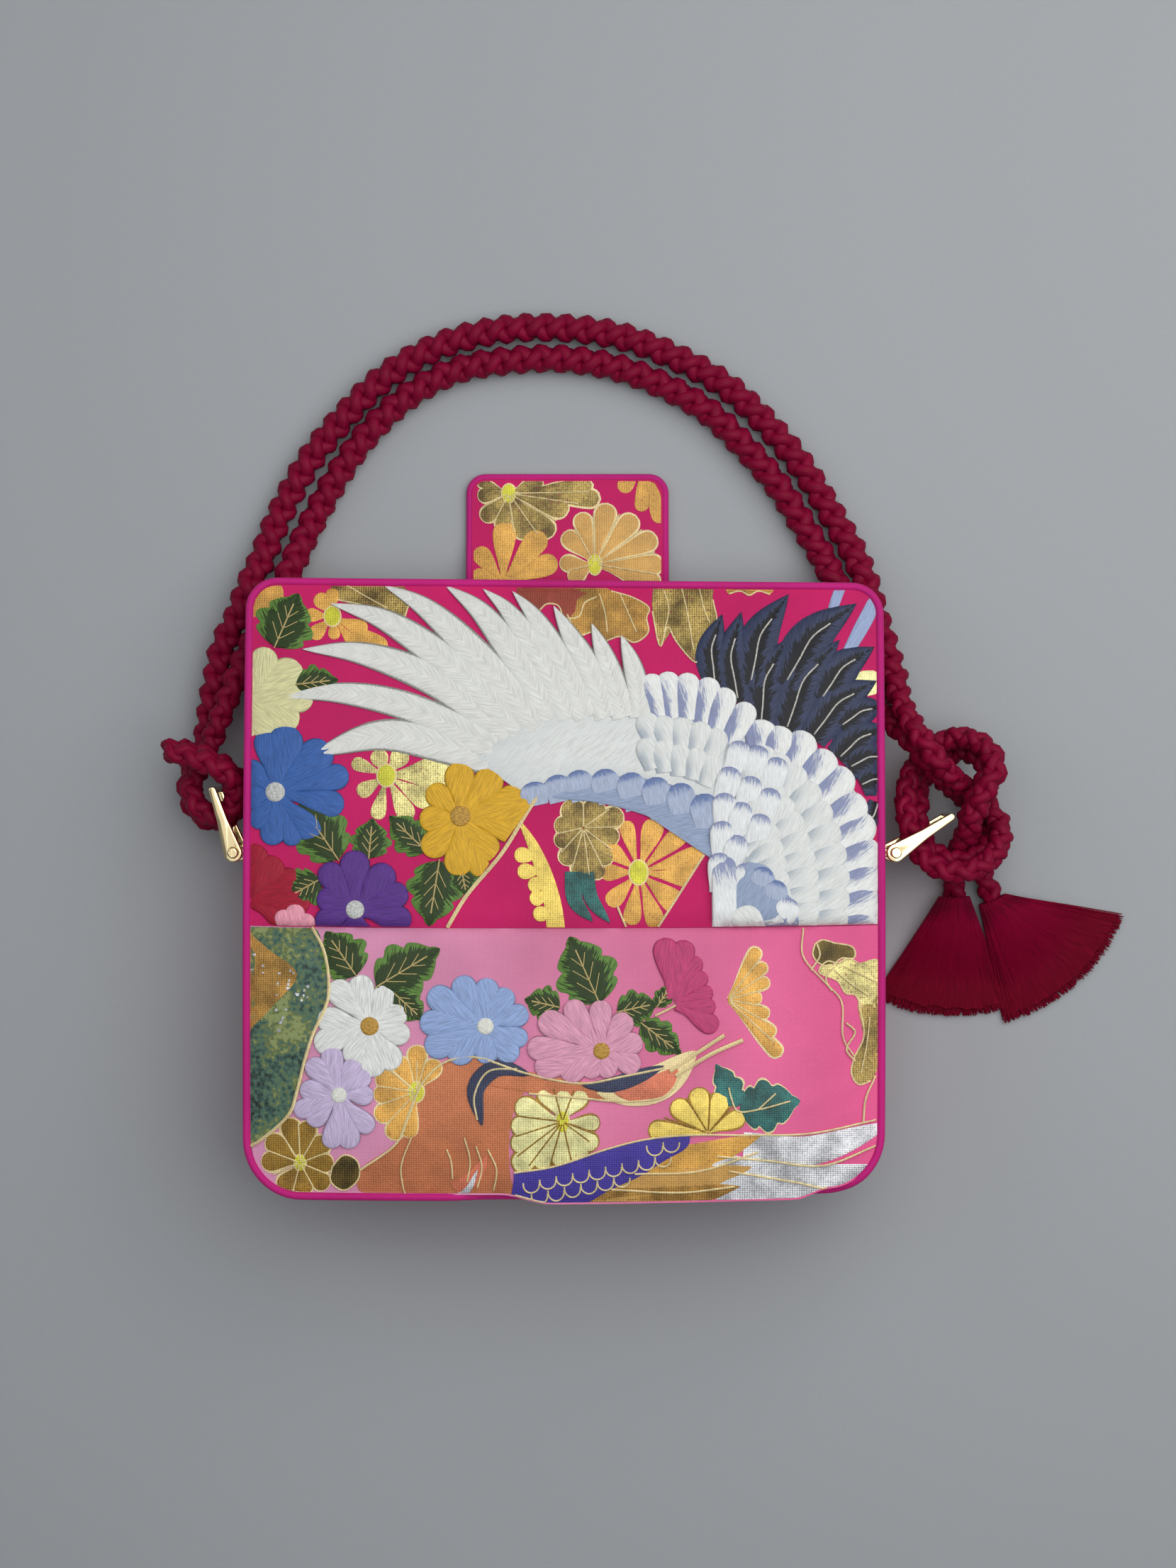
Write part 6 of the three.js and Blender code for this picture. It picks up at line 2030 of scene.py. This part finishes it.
class HANDBAG_OT_brocade(bpy.types.Operator):
    """Weaves the gold flowers, the bird, the leaves and the moss into the two cloths and the tab"""

    bl_idname = "handbag.brocade"
    bl_label = "Woven gold"

    def execute(self, context):
        book = MeshBook()
        self.looks = {name: k for k, name in enumerate(GOLD)}
        upper, lower, tab = Cloth(True), Cloth(False), TabCloth()
        for look, outlined, centre, outline in WOVEN_SHAPES:
            cloth = upper if centre[1] > -14 else lower
            level = {"violet": 0.5, "moss": 0.3}.get(look, 0.1)
            spread(book, cloth, centre, outline, level, 0.1, self.looks[look], rings=10)
            if outlined:
                rim = [(x, y) for x, y in outline if abs(x) < 106 and y < 101]
                rim += rim[:1] if len(rim) == len(outline) else []
                couch(book, cloth, rim, 0.3, level + 0.15, self.looks["line_gold"])
        spread(
            book, lower, (-101, -31), [(-110, -14), (-100, -22.4), (-90.9, -30.5), (-98, -40), (-110, -50)],
            0.45, 0.05, self.looks["brown_gold"],
        )
        for flower in WOVEN_FLOWERS:
            self.flower(book, upper if flower[2][1] > -14 else lower, *flower)
        for flower in TAB_FLOWERS:
            self.flower(book, tab, *flower)
        for k, (look, width, spine) in enumerate(WOVEN_BLADES):
            cloth = upper if spine[1][1] > -14 else lower
            blade(book, cloth, spine, width, 0.12 + 0.03 * k, 0.12, self.looks[look], plume_form, rows=20)
        for k, (look, width, spine) in enumerate(WOVEN_LENSES):
            blade(book, lower, spine, width, 0.5 + 0.06 * k, 0.12, self.looks[look], lens_form, rows=20)
        for x0, y0, x1, y1 in IRIS_PETALS:
            blade(book, upper, ((x0, y0), (x1, y1)), 5.4, 0.3, 0.15, self.looks["yellow_gold"])
        for x0, y0, x1, y1, width in TEAL_LEAVES:
            for grow, rise, look in ((1.4, 0.1, "line_gold"), (0, 0.16, "teal")):
                blade(
                    book, lower, ((x0, y0), (x1, y1)), width + grow, rise, 0.1, self.looks[look], leaf_form,
                    rows=30,
                )
        self.scales(book, lower)
        for radius, places in GOLD_LINES:
            cloth = upper if places[1][1] > -14 else lower
            couch(book, cloth, places, radius, 0.62 if cloth is lower else 0.3, self.looks["line_gold"])
        rng = random.Random(5)
        for _ in range(26):
            spot = rng.choice(((-104, -27), (-95, -34), (-97, -46), (-90, -39)))
            place = (spot[0] + rng.gauss(0, 1.6), spot[1] + rng.gauss(0, 2))
            round_spot(book, lower, place, rng.uniform(0.3, 0.7), rng.uniform(0.3, 0.6), 0.6, 0.1, self.looks["silver"])
        threads = [
            gold_weft(name, *settings) if name != "moss" else mottled_weft(name)
            for name, settings in GOLD.items()
        ]
        finish_piece(book.make("woven_gold", threads))
        return {"FINISHED"}

    def flower(self, book, cloth, look, outlined, centre, boss, order, clip, petals):
        level = 0.12 + 0.14 * order
        thread = self.looks["olive_gold" if look in ("cream_gold", "yellow_gold") else "line_gold"]
        for k, (x, y, width) in enumerate(petals):
            start = tuple(Vector(centre).lerp(Vector((x, y)), 0.12 if boss[0] else 0.02))
            lift = level + 0.02 * (k % 3)
            if outlined:
                tip = tuple(Vector(centre).lerp(Vector((x, y)), 1.025))
                blade(book, cloth, (start, tip), width + 0.7, lift, 0.08, thread, clip=clip, columns=6)
                lift += 0.06
            blade(
                book, cloth, (start, (x, y)), width * 0.9 - 0.2, lift, 0.1, self.looks[look], clip=clip, columns=6
            )
        for a, b in zip(petals, petals[1:]) if outlined else ():
            valley = Vector(((a[0] + b[0]) / 2, (a[1] + b[1]) / 2))
            if (Vector(a[:2]) - Vector(b[:2])).length < 15:
                middle = Vector(centre)
                line = [tuple(middle.lerp(valley, t)) for t in (0.06, 0.5, 0.93)]
                couch(book, cloth, line, 0.26, level + 0.2, thread, clip=clip)
        if boss[0]:
            round_spot(book, cloth, centre, boss[0] + 0.5, boss[1] + 0.5, level + 0.12, 0.1, self.looks["line_gold"])
            round_spot(book, cloth, centre, *boss, level + 0.2, 0.12, self.looks["boss"])

    def scales(self, book, cloth):
        """Gold arcs over the violet wing, in rows like fish scales."""
        for row in range(5):
            for k in range(11):
                x = -14 + k * 5.6 + 2.8 * (row % 2)
                y = -107 + row * 4.4 + 0.2 * (x + 14)
                if y > -99.5 + 0.23 * (x + 14) or y < -108 + max(0, x - 6) * 0.5 or x > 40:
                    continue
                arc = [
                    (x + 2.8 * math.cos(a), y + 2.9 * math.sin(a))
                    for a in (math.radians(170 + 200 * t / 6) for t in range(7))
                ]
                couch(book, cloth, arc, 0.3, 0.6, self.looks["line_gold"])


class HANDBAG_PT_pieces(bpy.types.Panel):
    """Lists the bag's pieces in the order in which they are made"""

    bl_idname = "HANDBAG_PT_pieces"
    bl_label = "Handbag"
    bl_space_type = "VIEW_3D"
    bl_region_type = "UI"
    bl_category = "Handbag"

    def draw(self, context):
        for operator in OPERATORS:
            self.layout.operator(operator.bl_idname)
        for name in SETTINGS:
            box = self.layout.box()
            group = getattr(context.scene, name)
            for setting in group.__annotations__:
                box.prop(group, setting)


OPERATORS = (
    HANDBAG_OT_stage,
    HANDBAG_OT_cord,
    HANDBAG_OT_tassels,
    HANDBAG_OT_fronts,
    HANDBAG_OT_piping,
    HANDBAG_OT_back,
    HANDBAG_OT_gusset,
    HANDBAG_OT_tab,
    HANDBAG_OT_gilt,
    HANDBAG_OT_brocade,
    HANDBAG_OT_wing,
    HANDBAG_OT_navy,
    HANDBAG_OT_flowers,
    HANDBAG_OT_leaves,
)
SETTINGS = {
    "bag_sizes": BagSizes,
    "cord_sizes": CordSizes,
    "gilt_sizes": GiltSizes,
    "bag_colours": ClothColours,
}


def register():
    for group in SETTINGS.values():
        bpy.utils.register_class(group)
    for name, group in SETTINGS.items():
        setattr(bpy.types.Scene, name, bpy.props.PointerProperty(type=group))
    for operator in OPERATORS:
        bpy.utils.register_class(operator)
    bpy.utils.register_class(HANDBAG_PT_pieces)


def unregister():
    bpy.utils.unregister_class(HANDBAG_PT_pieces)
    for operator in reversed(OPERATORS):
        bpy.utils.unregister_class(operator)
    for name in SETTINGS:
        delattr(bpy.types.Scene, name)
    for group in reversed(list(SETTINGS.values())):
        bpy.utils.unregister_class(group)


def main():
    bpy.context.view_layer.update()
    register()
    for operator in OPERATORS:
        group, call = operator.bl_idname.split(".")
        getattr(getattr(bpy.ops, group), call)()


if __name__ == "__main__":
    main()
